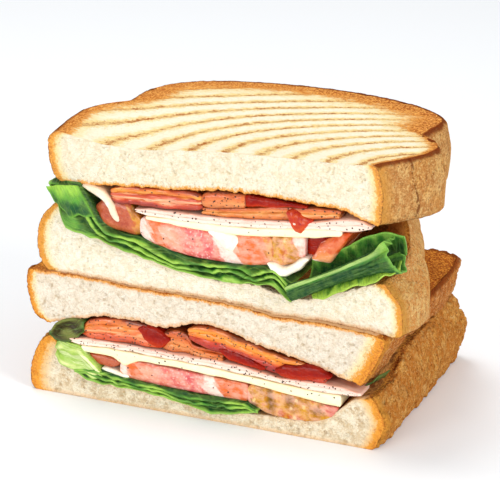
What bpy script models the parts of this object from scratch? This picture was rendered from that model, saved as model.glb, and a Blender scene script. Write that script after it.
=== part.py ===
"""A club sandwich of toasted bread, cut in two, with one half stacked on the other.

Each half is a pocket of two bread slices round lettuce, tomato, cheese, ham and bacon.
X runs along the cut faces, which look towards -Y, and the lower half lies on Z = 0.
All sizes below are in millimetres; the meshes are made in metres.
"""

import math
from bisect import bisect_right

import bmesh
import bpy
from mathutils import Matrix, Vector

MM = 0.001
GAP = 0.3  # kept between pieces that touch

# Plan of the loaf: the upper half has its domed top at the back, the lower half its flat foot.
DOME_START, DOME_RISE, DOME_SQUARENESS = 54.0, 22.0, 2.0
FOOT_SQUARENESS = 6.0

# How the upper half sits on the lower one.
UPPER_TURN = math.radians(1.0)
UPPER_BACK = 0.4

RIM_ROUND = 1.3  # rounding of the crust's edges
POCKET_END = (0.79, 0.96)  # shares of the depth between which the pocket closes up to its rim
POCKET_SIDE = (0.86, 0.97)  # shares of the width between which it closes at either side
LEFT_SHUT, RIGHT_SHUT = (26.0, 44.0), (8.0, 32.0)  # the depths between which each side closes

COLOURS = {
    "bread": ((0.93, 0.80, 0.56), 0.80),
    "bacon": ((0.78, 0.25, 0.07), 0.25),
    "ham": ((0.95, 0.72, 0.62), 0.45),
    "cheese": ((0.98, 0.90, 0.56), 0.40),
    "tomato": ((0.85, 0.25, 0.12), 0.22),
    "lettuce": ((0.16, 0.42, 0.06), 0.38),
}


def ease(low, high, value):
    """0 below low, 1 above high, and a smooth step between them."""
    share = min(1.0, max(0.0, (value - low) / (high - low)))
    return share * share * (3 - 2 * share)


def mix(first, second, share):
    return first + (second - first) * share


def through(rows):
    """A function of position, smooth and without overshoot, through rows of (position, values...)."""
    places = [row[0] for row in rows]

    def slope(k, column):
        if k in (0, len(rows) - 1):
            return 0.0
        before = (rows[k][column] - rows[k - 1][column]) / (places[k] - places[k - 1])
        after = (rows[k + 1][column] - rows[k][column]) / (places[k + 1] - places[k])
        return 0.0 if before * after <= 0 else 2 * before * after / (before + after)

    def value(position):
        position = min(places[-1], max(places[0], position))
        k = min(len(rows) - 2, bisect_right(places, position) - 1)
        width = places[k + 1] - places[k]
        u = (position - places[k]) / width
        found = []
        for column in range(1, len(rows[0])):
            start, end = rows[k][column], rows[k + 1][column]
            rise = (1 + 2 * u) * (1 - u) ** 2 * start + u * u * (3 - 2 * u) * end
            lean = u * (1 - u) ** 2 * slope(k, column) - u * u * (1 - u) * slope(k + 1, column)
            found.append(rise + width * lean)
        return found[0] if len(found) == 1 else found

    return value


def material(name):
    """The Principled material of one kind of food."""
    made = bpy.data.materials.get(name)
    if made is None:
        made = bpy.data.materials.new(name)
        made.use_nodes = True
        shader = made.node_tree.nodes["Principled BSDF"]
        colour, roughness = COLOURS[name]
        shader.inputs["Base Color"].default_value = (*colour, 1.0)
        shader.inputs["Roughness"].default_value = roughness
    return made


def even(count):
    """Shares of a unit length that cut it into equal steps."""
    return [k / count for k in range(1, count)]


def crowded(count):
    """Shares of a unit length, closer together near both ends."""
    return [0.5 - 0.5 * math.cos(math.pi * k / count) for k in range(1, count)]


def block(name, food, cuts, place):
    """A cube sliced at the given shares along its three axes, each point then put where place says."""
    mesh = bpy.data.meshes.new(name)
    shape = bmesh.new()
    bmesh.ops.create_cube(shape, size=1.0, matrix=Matrix.Translation((0.5, 0.5, 0.5)))
    for axis, shares in enumerate(cuts):
        normal = Vector([float(axis == k) for k in range(3)])
        for share in shares:
            parts = [*shape.verts, *shape.edges, *shape.faces]
            bmesh.ops.bisect_plane(shape, geom=parts, dist=1e-6, plane_co=normal * share, plane_no=normal)
    for point in shape.verts:
        point.co = Vector(place(*point.co)) * MM
    bmesh.ops.recalc_face_normals(shape, faces=shape.faces)
    shape.to_mesh(mesh)
    shape.free()
    mesh.materials.append(material(food))
    made = bpy.data.objects.new(name, mesh)
    bpy.data.collections["club_sandwich"].objects.link(made)
    return made


class Slice:
    """Half a slice of bread: straight cut in front, crust on its other three sides.

    left and right give the x of the crust at the cut, by share of the slice's height.
    left_plan and right_plan say how far the crust then stands out along the depth.
    under and over are the heights along the cut, and pocket tells which of them faces the filling.
    rim is the height of the pocket's edge where it closes, and lean how far the back's foot and head tuck in.
    curl is how far the outer face's right-hand back corner curls up, and upright the share of the sides'
    slant that is gone towards the back.
    """

    def __init__(
        self, name, left, right, left_plan, right_plan, back, under, over, pocket, rim, lean, curl=0.0, upright=0.0
    ):
        self.name = name
        self.left, self.right = through(left), through(right)
        self.lean = through(list(zip((0.0, 0.5, 1.0), lean)))
        self.left_plan, self.right_plan = through(left_plan), through(right_plan)
        self.start, self.rise, self.squareness = back
        self.under, self.over = through(under), through(over)
        self.pocket, self.rim = pocket, through(rim)
        self.curl, self.upright = curl, upright

    def tuck(self, height):
        """How far the crust's rounded edges step back at this share of the height."""
        near = min(height, 1 - height) / 0.1
        return RIM_ROUND * max(0.0, 1 - near) ** 2

    def side(self, edge, plan, sign, depth, height):
        slanted = mix(edge(height), edge(1.0 - self.pocket), self.upright * ease(8, 60, depth))
        return Vector((slanted + plan(depth) - sign * self.tuck(height), depth))

    def left_side(self, depth, height):
        return self.side(self.left, self.left_plan, -1, depth, height)

    def right_side(self, depth, height):
        return self.side(self.right, self.right_plan, 1, depth, height)

    def back_side(self, share, height):
        """The back's outline: a superellipse between the ends of the two sides."""
        start = self.start - self.lean(height) - self.tuck(height)
        left, right = self.left_side(start, height), self.right_side(start, height)
        bulge = (1 - abs(2 * share - 1) ** self.squareness) ** (1 / self.squareness)
        return Vector((mix(left.x, right.x, share), start + self.rise * bulge))

    def plan(self, share, depth_share, height):
        """The point of the outline's patch between the cut, the two sides and the back."""
        ends = self.back_side(0.0, height), self.back_side(1.0, height)
        left = self.left_side(depth_share * ends[0].y, height)
        right = self.right_side(depth_share * ends[1].y, height)
        first, last = self.left_side(0, height), self.right_side(0, height)
        front = first.lerp(last, share)
        back = self.back_side(share, height)
        corners = first.lerp(last, share).lerp(ends[0].lerp(ends[1], share), depth_share)
        return left.lerp(right, share) + front.lerp(back, depth_share) - corners

    def place(self, share, depth_share, height):
        spot = self.plan(share, depth_share, height)
        levels = [self.under(spot.x), self.over(spot.x)]
        left = ease(*POCKET_SIDE, 1 - share) * ease(*LEFT_SHUT, spot.y)
        right = ease(*POCKET_SIDE, share) * ease(*RIGHT_SHUT, spot.y)
        shut = max(left, right, ease(*POCKET_END, depth_share))
        levels[self.pocket] = mix(levels[self.pocket], self.rim(spot.x), shut)
        levels[1 - self.pocket] += self.curl * ease(108, 122, spot.x) * ease(66, 78, spot.y)
        return spot.x, spot.y, mix(*levels, height)

    def build(self):
        cuts = (crowded(22), crowded(10), (0.05, 0.35, 0.65, 0.95))
        return block(self.name, "bread", cuts, self.place)


def filling(name, food, rows, front, back, steps, across=2, waves=0.0):
    """A strip whose cut end has the heights that rows give, as (x, low, high), run back through the food.

    front and back are the depths that it reaches, as numbers or as rows along x.
    waves is how far the front edge swings in and out.
    """
    profile = through(rows)
    reach = [through(v if isinstance(v, list) else [(0, v), (1, v)]) for v in (front, back)]
    first, last = rows[0][0], rows[-1][0]

    def place(share, depth_share, height):
        x = mix(first, last, share)
        low, high = profile(x)
        near = reach[0](x) + waves * math.sin(x * 0.9) * (1 - depth_share)
        return x, mix(near, reach[1](x), depth_share), mix(low, high, height)

    return block(name, food, (even(steps), even(across), ()), place)


# Where the two halves meet, from left to right: (x, height).
SEAM = [(2, 43.4), (10, 43.7), (27, 43.3), (42, 42.6), (63, 42.4), (77, 41.8), (91, 40.5), (105, 40.6), (119, 40.0), (131, 38.6)]

STRAIGHT = [(0, 0.0), (40, 0.6), (80, 0.0)]
# A crust that narrows at the shoulder below the dome, on the left, and bulges and nips in on the right.
SHOULDER_LEFT = [(0, 0.0), (8, -0.8), (17, -1.2), (23, -0.8), (28, 1.4), (31, 4.0), (35, 9.0), (40, 10.0), (47, 10.2), (56, 13.4)]
SHOULDER_RIGHT = [(0, 0.0), (8, 5.0), (16, 10.0), (25, 12.0), (31, 9.5), (36.5, 3.0), (43, 3.4), (50, 4.5), (56, 4.0)]
CUPPED_LEFT = [(0, 0.0), (15, 0.0), (24, 3.0), (30, 9.0), (36, 13.0), (46, 15.0), (56, 18.0)]
CUPPED_RIGHT = [(0, 0.0), (8, 2.4), (16, 3.2), (22, 1.4), (26.5, -1.6), (33, -4.0), (42, -7.0), (56, -13.0)]


def build_lower_bread():
    Slice(
        "lower_bottom_bread",
        left=[(0, 1.0), (0.2, 0.4), (0.36, 0.6), (0.6, 2.0), (0.84, 4.4), (1, 7.4)],
        right=[(0, 124.6), (0.5, 127.4), (1, 124.2)],
        left_plan=STRAIGHT, right_plan=[(0, 0.0), (12, 1.2), (50, 0.8), (80, 0.0)],
        back=(78.0, 6.0, FOOT_SQUARENESS), under=[(0, 0.0), (130, 0.0)],
        over=[(8, 21.0), (11, 18.6), (16, 10.9), (20, 8.2), (25, 6.5), (42, 6.2), (56, 4.9), (66, 3.4), (77, 4.6),
              (90, 5.4), (102, 6.0), (109, 9.0), (113, 13.0), (118, 16.7), (122, 17.5), (126, 18.2)],
        pocket=1, rim=[(0, 22.0), (80, 22.5), (128, 25.0)], lean=(0.0, 0.5, 4.0),
    ).build()
    Slice(
        "lower_top_bread",
        left=[(0, 6.0), (0.15, 3.0), (0.4, 1.2), (0.7, 0.2), (1, 0.8)],
        right=[(0, 120.4), (0.5, 124.4), (1, 127.2)],
        left_plan=STRAIGHT, right_plan=[(0, 0.0), (20, 1.2), (60, 0.6), (80, -1.0)],
        back=(70.0, 7.0, FOOT_SQUARENESS), over=[(x, z - GAP / 2) for x, z in SEAM],
        under=[(4, 24.5), (8, 25.3), (14, 26.7), (20, 28.6), (30, 30.8), (41, 31.0), (48, 30.2), (54, 30.8), (59, 33.0),
               (66, 33.7), (73, 32.9), (81, 30.4), (90, 28.6), (98, 27.2), (107, 25.0), (112, 23.5), (117, 22.2), (121, 21.4)],
        pocket=0, rim=[(0, 24.0), (80, 24.5), (128, 27.0)], lean=(0.0, 0.5, 0.0), curl=1.6, upright=0.7,
    ).build()


def build_upper_bread():
    Slice(
        "upper_bottom_bread",
        left=[(0, 7.0), (0.2, 5.0), (0.35, 4.4), (0.52, 4.6), (0.71, 6.0), (0.89, 9.2), (1, 12.4)],
        right=[(0, 131.8), (0.5, 131.4), (1, 125.8)],
        left_plan=CUPPED_LEFT, right_plan=CUPPED_RIGHT,
        back=(DOME_START, DOME_RISE, DOME_SQUARENESS), under=[(x, z + GAP / 2) for x, z in SEAM],
        over=[(13, 68.6), (16, 65.0), (20, 60.6), (26, 57.6), (31, 55.7), (39, 54.2), (46, 52.6), (53, 50.9), (63, 50.0),
              (69, 49.0), (81, 49.4), (88, 48.0), (95, 46.8), (102, 47.8), (108, 50.2), (115, 53.0), (122, 55.4), (128, 57.4)],
        pocket=1, rim=[(12, 68.0), (110, 68.0), (130, 71.0)], lean=(1.0, 0.0, 4.0),
    ).build()
    Slice(
        "upper_top_bread",
        left=[(0, 13.0), (0.15, 11.4), (0.5, 9.6), (0.8, 9.4), (1, 10.6)],
        right=[(0, 124.0), (0.5, 124.4), (1, 122.8)],
        left_plan=SHOULDER_LEFT, right_plan=SHOULDER_RIGHT,
        back=(DOME_START, DOME_RISE, DOME_SQUARENESS),
        over=[(11, 92.2), (21, 91.1), (29, 90.0), (39, 89.7), (46, 90.2), (60, 91.6), (78, 93.0), (108, 93.8), (123, 94.6)],
        under=[(13, 75.1), (28, 76.0), (39, 77.0), (46, 77.4), (57, 78.2), (64, 79.0), (72, 79.8), (78, 80.0), (88, 79.9),
               (98, 79.4), (110, 79.0), (114, 78.0), (120, 76.0), (126, 74.6)],
        pocket=0, rim=[(10, 72.0), (110, 72.0), (130, 73.0)], lean=(3.0, 0.0, 0.0),
    ).build()


# How far back the lower half's filling reaches: (x, depth).
LOWER_REACH = [(12, 22.0), (26, 42.0), (38, 54.0), (98, 54.0), (108, 28.0), (121, 6.0)]


def build_lower_filling():
    filling("lower_lettuce", "lettuce",
            [(12.5, 17.8, 20.4), (16, 13.0, 19.6), (20, 10.0, 15.8), (25, 7.9, 11.8), (34, 7.1, 10.0), (45, 6.9, 9.2),
             (56, 5.9, 8.6), (66, 4.4, 8.2), (77, 5.5, 8.6), (84, 6.2, 7.2)], -1.6, LOWER_REACH, 14, waves=0.8)
    filling("lower_lettuce_tip", "lettuce", [(8.6, 22.6, 23.8), (12, 21.8, 25.7), (19.5, 24.6, 27.6)], 0.5, 24.0, 3)
    filling("lower_lettuce_side", "lettuce", [(119.4, 19.7, 20.7), (122.6, 20.7, 22.0), (125.6, 22.6, 24.2)], 4.0, 14.0, 3)
    filling("lower_tomato_end", "tomato", [(22.5, 14.4, 16.2), (28, 12.2, 16.4), (33.4, 13.4, 15.8)], 0.6, 40.0, 3)
    filling("lower_tomato_left", "tomato", [(34.0, 10.6, 15.4), (40, 10.0, 16.4), (63, 9.0, 15.9), (79.6, 9.1, 15.1)], 0.0,
            [(34, 14.0), (40, 29.0), (50, 38.0), (60, 40.0), (72, 36.0), (79.6, 27.0)], 10, across=4)
    filling("lower_tomato_right", "tomato",
            [(80.0, 8.9, 15.1), (88, 6.9, 14.5), (96, 6.4, 13.8), (103, 6.9, 13.0), (109, 10.2, 12.4)], 0.2,
            [(80, 40.0), (90, 44.0), (100, 38.0), (109, 20.0)], 9, across=4)
    filling("lower_cheese", "cheese",
            [(20.0, 16.7, 18.9), (31, 16.9, 19.4), (50, 17.0, 19.1), (67, 16.4, 18.8), (88, 15.0, 17.6), (100, 14.0, 17.0),
             (112.4, 14.4, 17.0)], -0.2, LOWER_REACH, 10)
    filling("lower_ham", "ham",
            [(15.2, 20.5, 21.4), (20, 19.3, 21.4), (31, 19.8, 22.0), (52, 19.5, 21.7), (70, 19.1, 21.4), (93, 17.8, 20.0),
             (105, 17.5, 19.7), (115, 17.6, 19.4), (120.8, 18.2, 19.1)], -0.5, LOWER_REACH, 12)
    filling("lower_bacon_left", "bacon",
            [(20.2, 22.3, 26.4), (25, 22.4, 28.6), (33, 22.5, 30.2), (41, 22.5, 30.4), (49.2, 22.2, 28.6)], 0.0, 54.0, 5)
    filling("lower_bacon_middle", "bacon", [(49.8, 22.1, 28.4), (56, 22.1, 28.8), (58.6, 22.0, 26.0), (71.0, 21.8, 24.6)],
            0.4, 50.0, 5)
    filling("lower_bacon_right", "bacon",
            [(59.6, 27.2, 32.4), (67, 25.4, 33.0), (76, 23.6, 31.1), (88, 21.0, 28.0), (98, 20.1, 26.6), (107, 20.4, 24.2)],
            -0.2, [(60, 52.0), (90, 52.0), (107, 44.0)], 8)


# How far back the upper half's filling reaches under the dome: (x, depth).
UPPER_REACH = [(10, 20.0), (26, 28.0), (34, 34.0), (44, 46.0), (60, 51.0), (96, 51.0), (107, 32.0), (121, 6.0)]


def build_upper_filling():
    filling("upper_lettuce", "lettuce",
            [(9.5, 72.4, 73.8), (14, 69.4, 74.9), (20.5, 62.0, 74.9), (24, 59.8, 69.6), (30, 57.0, 61.6), (38, 54.9, 60.2),
             (46, 53.3, 57.7), (56, 51.2, 55.6), (66, 50.3, 54.7), (76, 50.2, 55.2), (86, 49.6, 56.0), (93.5, 48.2, 53.0)],
            -2.4, UPPER_REACH, 16, waves=1.0)
    filling("upper_lettuce_fold", "lettuce",
            [(94.4, 47.6, 52.6), (101, 48.4, 57.6), (108, 50.8, 60.2), (115, 53.6, 66.0), (122, 56.0, 72.6), (128, 59.6, 73.4),
             (134, 65.0, 72.6)], [(94, -7.0), (112, -7.5), (134, -3.0)], [(94, 40.0), (106, 24.0), (118, 9.0), (134, 4.0)], 9, across=3, waves=0.7)
    filling("upper_tomato_end", "tomato", [(29.0, 64.6, 68.0), (33, 62.2, 70.4), (40.6, 62.6, 69.0)], 1.4, 34.0, 3)
    filling("upper_tomato_left", "tomato",
            [(42.6, 60.0, 65.8), (50, 58.2, 65.9), (56, 56.4, 65.6), (64, 55.6, 65.1), (76, 55.9, 65.3), (87.6, 56.9, 66.4)],
            0.0, [(42.6, 12.0), (48, 27.0), (58, 39.0), (68, 43.0), (80, 38.0), (87.6, 28.0)], 11, across=4)
    filling("upper_tomato_right", "tomato",
            [(88.2, 57.2, 66.6), (94, 58.4, 67.2), (101, 60.2, 68.0), (107, 61.6, 68.8), (113.4, 68.4, 70.0)],
            0.2, [(88, 40.0), (98, 43.0), (107, 36.0), (113.4, 22.0)], 9, across=4)
    filling("upper_cheese", "cheese",
            [(46.0, 66.3, 67.5), (56, 65.9, 67.9), (74, 65.8, 68.1), (88, 67.0, 69.3), (101, 68.4, 70.7), (111, 70.3, 71.4)],
            -0.2, UPPER_REACH, 8)
    filling("upper_ham", "ham",
            [(41.2, 69.0, 70.2), (46, 68.2, 70.5), (56, 68.2, 70.6), (74, 68.4, 71.0), (88, 69.6, 72.2), (101, 71.0, 73.6),
             (111, 71.8, 75.8), (117, 72.8, 76.4), (120.4, 73.7, 75.0)], -0.5, UPPER_REACH, 11)
    filling("upper_ham_fold", "ham", [(22.0, 73.4, 74.9), (27, 72.4, 75.1), (31, 71.2, 74.6), (31.6, 71.4, 74.4)], -0.8, 26.0, 3)
    filling("upper_bacon_left", "bacon", [(32.4, 71.4, 75.4), (40, 70.9, 76.6), (52, 71.1, 77.3), (63.6, 71.8, 77.9)], 0.0, UPPER_REACH, 5)
    filling("upper_bacon_middle", "bacon", [(64.2, 73.5, 78.3), (72, 74.3, 79.2), (79.2, 75.2, 79.4)], 0.2, 48.0, 3)
    filling("upper_bacon_right", "bacon",
            [(64.0, 71.2, 73.1), (79, 71.8, 74.8), (88, 72.6, 76.0), (98, 73.8, 77.4), (110.4, 76.3, 78.2)], -0.1, UPPER_REACH, 7)


def seat_upper_half():
    """Turns the upper half a little and moves it back, so that some toast of the lower one shows."""
    turn = Matrix.Translation((0, UPPER_BACK * MM, 0)) @ Matrix.Rotation(UPPER_TURN, 4, "Z")
    for piece in bpy.data.collections["club_sandwich"].objects:
        if piece.name.startswith("upper_"):
            piece.data.transform(turn)


def centre():
    """Puts the middle of the sandwich's footprint at the origin."""
    pieces = bpy.data.collections["club_sandwich"].objects
    points = [point.co for piece in pieces for point in piece.data.vertices]
    middle = [-(min(p[k] for p in points) + max(p[k] for p in points)) / 2 for k in (0, 1)]
    for piece in pieces:
        piece.data.transform(Matrix.Translation((*middle, 0)))


def main():
    for old in list(bpy.data.objects):
        bpy.data.objects.remove(old)
    bpy.context.scene.collection.children.link(bpy.data.collections.new("club_sandwich"))
    build_lower_bread()
    build_upper_bread()
    build_lower_filling()
    build_upper_filling()
    seat_upper_half()
    centre()


main()
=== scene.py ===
"""The looks of a toasted club sandwich whose cut halves are stacked one on the other.

Sizes are in millimetres. X runs along the cut faces from the left end of the lower slices, depth
runs back from the cut faces, and height is above the table. Kitchen.spot turns them into the
frame's metres.
"""

from __future__ import annotations

import logging
import math
from collections.abc import Callable, Sequence
from dataclasses import dataclass, field, replace
from enum import Enum
from functools import partial, reduce

import bpy
import numpy as np
from bpy.types import Material, Node, NodeTree, Object
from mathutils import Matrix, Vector


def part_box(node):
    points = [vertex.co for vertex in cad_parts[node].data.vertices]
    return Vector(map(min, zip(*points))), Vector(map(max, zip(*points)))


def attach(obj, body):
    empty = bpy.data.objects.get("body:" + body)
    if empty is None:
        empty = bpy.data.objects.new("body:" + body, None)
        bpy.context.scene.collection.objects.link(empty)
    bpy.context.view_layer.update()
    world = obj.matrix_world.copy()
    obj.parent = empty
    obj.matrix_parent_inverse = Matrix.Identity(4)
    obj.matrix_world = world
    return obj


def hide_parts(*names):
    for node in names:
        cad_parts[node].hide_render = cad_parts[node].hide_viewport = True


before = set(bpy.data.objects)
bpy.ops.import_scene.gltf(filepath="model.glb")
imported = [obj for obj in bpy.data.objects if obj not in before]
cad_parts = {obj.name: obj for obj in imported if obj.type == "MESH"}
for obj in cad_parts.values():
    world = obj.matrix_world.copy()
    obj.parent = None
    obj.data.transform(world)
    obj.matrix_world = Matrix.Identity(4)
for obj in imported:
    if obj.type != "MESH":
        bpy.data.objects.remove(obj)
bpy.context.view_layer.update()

MM = 0.001  # metres
SQUARE_CENTIMETRE = 1e-4  # square metres
log = logging.getLogger("club_sandwich")

Rows = Sequence[tuple[float, ...]]
Array = np.ndarray
Masks = dict[str, Array]
Spots = tuple[Array, Masks]  # points, and what is kept on them
Triple = tuple[float, float, float]
Colour = tuple[int, int, int]  # red, green and blue of 0 to 255


# ---- measures and curves


class Half(Enum):
    """The two halves of the sandwich, each with how it is turned and how far it is set back."""

    LOWER = (0.0, 0.0)
    UPPER = (math.radians(1.0), 0.4)


class Kitchen:
    """Where the sandwich stands in the frame, read from the nodes' boxes."""

    BREAD_LEFT = 0.58  # x of the lower bottom slice's left end
    ORIGIN = np.array([*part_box("lower_bottom_bread")[0].xy, 0.0])

    @classmethod
    def spot(cls, half: Half, x: Array, depth: Array, height: Array) -> Array:
        """Points of a half, in the frame's metres.

        Args:
            half: the half that the points belong to.
            x: millimetres along the cut face.
            depth: millimetres behind it.
            height: millimetres above the table.

        Returns:
            An array with one row of three coordinates for each point.
        """
        turn, back = half.value
        across = math.cos(turn) * x - math.sin(turn) * depth
        along = math.sin(turn) * x + math.cos(turn) * depth + back
        points = np.stack(np.broadcast_arrays(across - cls.BREAD_LEFT, along, height), -1)
        return points * MM + cls.ORIGIN


def ease(low: float, high: float, value: Array) -> Array:
    """0 below low, 1 above high, and a smooth step between them."""
    share = np.clip((value - low) / (high - low), 0.0, 1.0)
    return share * share * (3 - 2 * share)


def mix(first: Array, second: Array, share: Array) -> Array:
    """The value that lies this share of the way from first to second."""
    return first + (second - first) * share


def through(rows: Rows | float, column: int = 1) -> Callable[[Array], Array]:
    """A smooth curve without overshoot through rows of (position, value, ...).

    Args:
        rows: the points, in order of position, or one number for a level line.
        column: which of the rows' values to follow.

    Returns:
        A function of an array of positions. It stays level beyond both ends.
    """
    if isinstance(rows, (int, float)):
        rows = ((0.0, rows), (1.0, rows))
    table = np.array(rows, float)
    places, values = table[:, 0], table[:, column]
    rises = np.diff(values) / np.diff(places)
    slopes = np.zeros(len(places))
    both = rises[:-1] * rises[1:]
    total = np.where(both > 0, rises[:-1] + rises[1:], 1.0)
    slopes[1:-1] = np.where(both > 0, 2 * both / total, 0.0)

    def value(position: Array) -> Array:
        """The curve's value.

        Args:
            position: where to read it.

        Returns:
            The value at each position.
        """
        at = np.clip(position, places[0], places[-1])
        k = np.clip(np.searchsorted(places, at, "right") - 1, 0, len(places) - 2)
        width = places[k + 1] - places[k]
        u = (at - places[k]) / width
        level = (1 + 2 * u) * (1 - u) ** 2 * values[k] + u * u * (3 - 2 * u) * values[k + 1]
        lean = u * (1 - u) ** 2 * slopes[k] - u * u * (1 - u) * slopes[k + 1]
        return level + width * lean

    return value


def ripple(position: Array, length: float, seed: float) -> Array:
    """An uneven wave.

    Args:
        position: where to read it.
        length: the distance between its crests.
        seed: picks another wave.

    Returns:
        Values from about -1 to 1.
    """
    turns = 2 * math.pi * position / length
    slow, quick = np.sin(0.53 * turns + 2.1 * seed), np.sin(1.71 * turns + 4.4 * seed)
    return 0.6 * np.sin(turns + seed + 1.3 * slow) + 0.25 * quick + 0.15 * slow


def srgb(red: int, green: int, blue: int) -> Triple:
    """A display colour of 0 to 255 as the linear colour that shaders use."""
    shares = [channel / 255 for channel in (red, green, blue)]
    return tuple(c / 12.92 if c <= 0.04045 else ((c + 0.055) / 1.055) ** 2.4 for c in shares)


# ---- meshes


def new_piece(name: str, points: Array, faces: Array, masks: Masks | None = None) -> Object:
    """A mesh object of these points and faces.

    Args:
        name: the piece's name.
        points: one row of metres for each point.
        faces: one row of point numbers for each four-sided face.
        masks: values to keep on the points, by attribute name.

    Returns:
        The object, shaded smooth and linked to the scene.
    """
    mesh = bpy.data.meshes.new(name)
    mesh.from_pydata(points.tolist(), [], faces.tolist())
    for label, values in (masks or {}).items():
        held = np.ascontiguousarray(np.broadcast_to(values, len(points)), np.float32)
        mesh.attributes.new(label, "FLOAT", "POINT").data.foreach_set("value", held)
    mesh.polygons.foreach_set("use_smooth", [True] * len(mesh.polygons))
    mesh.update()
    made = bpy.data.objects.new(name, mesh)
    bpy.context.scene.collection.objects.link(made)
    return made


def quads(grid: Array) -> Array:
    """The four-sided faces of a grid of point numbers."""
    corners = [grid[:-1, :-1], grid[1:, :-1], grid[1:, 1:], grid[:-1, 1:]]
    return np.stack(corners, -1).reshape(-1, 4)


Place = Callable[[Array, Array, Array], Spots]
Surface = Callable[[Array, Array], Spots]


def block(name: str, counts: tuple[int, int, int], place: Place) -> Object:
    """The closed skin of a cube cut into cells, with each of its points put where place says.

    Args:
        name: the piece's name.
        counts: the number of cells along the cube's three sides.
        place: turns three arrays of shares into an array of points and a dict of masks.

    Returns:
        The piece.
    """
    cuts = [np.linspace(0.0, 1.0, count + 1) for count in counts]
    cuts[0] = mix(cuts[0], 0.5 - 0.5 * np.cos(np.pi * cuts[0]), 0.5)
    skin = np.zeros([len(c) for c in cuts], bool)
    skin[[0, -1]] = skin[:, [0, -1]] = skin[:, :, [0, -1]] = True
    number = np.full(skin.shape, -1)
    number[skin] = np.arange(skin.sum())
    points, masks = place(*(cut[k] for cut, k in zip(cuts, np.nonzero(skin))))
    sides = [number[0].T, number[-1], number[:, 0], number[:, -1].T, number[:, :, 0].T, number[:, :, -1]]
    return new_piece(name, points, np.concatenate([quads(side) for side in sides]), masks)


def sheet(name: str, counts: tuple[int, int], surface: Surface, thickness: float) -> Object:
    """A thin closed sheet over a surface.

    Args:
        name: the piece's name.
        counts: the number of cells along and across.
        surface: turns two arrays of shares into an array of points and a dict of masks.
        thickness: the sheet's thickness in millimetres.

    Returns:
        The piece.
    """
    along, across = np.meshgrid(*(np.linspace(0.0, 1.0, count + 1) for count in counts), indexing="ij")
    points, masks = surface(along.ravel(), across.ravel())
    piece = new_piece(name, points, quads(np.arange(along.size).reshape(along.shape)), masks)
    solid = piece.modifiers.new("thickness", "SOLIDIFY")
    solid.thickness, solid.offset, solid.use_even_offset = thickness * MM, 0.0, False
    return plain(piece)


def plain(piece: Object) -> Object:
    """Turns what a piece's modifiers make into its own plain mesh.

    Args:
        piece: the object, which loses its modifiers.

    Returns:
        The same object.
    """
    mesh = bpy.data.meshes.new_from_object(piece.evaluated_get(bpy.context.evaluated_depsgraph_get()))
    mesh.name = piece.name
    piece.modifiers.clear()
    piece.data = mesh
    return piece


def joined(name: str, pieces: Sequence[Object]) -> Object:
    """One object that holds the meshes of one or more.

    Args:
        name: the new piece's name.
        pieces: the objects to join, of which only the first is left.

    Returns:
        The joined object.
    """
    whole = pieces[0]
    if len(pieces) > 1:
        chosen = {"active_object": whole, "object": whole, "selected_editable_objects": list(pieces)}
        with bpy.context.temp_override(**chosen):
            bpy.ops.object.join()
    whole.name = whole.data.name = name
    return whole


def serve(piece: Object, slot: str, *nodes: str) -> None:
    """Gives a piece a name of its own and its body, and hides the nodes that it stands for.

    Args:
        piece: the finished piece.
        slot: the record's slot for its finish; not used.
        nodes: the nodes that it stands for.
    """
    if "." in piece.name:
        piece.name = piece.data.name = f"{piece.name.split('.')[0]}_filling"
    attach(piece, "root")
    if nodes:
        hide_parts(*nodes)
    log.info("%s: %d faces", piece.name, len(piece.data.polygons))


# ---- node trees

Socket = bpy.types.NodeSocket


def plain_words(label: str) -> str:
    """A socket's name in small letters, with _ for each space."""
    return label.lower().replace(" ", "_")


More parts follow.
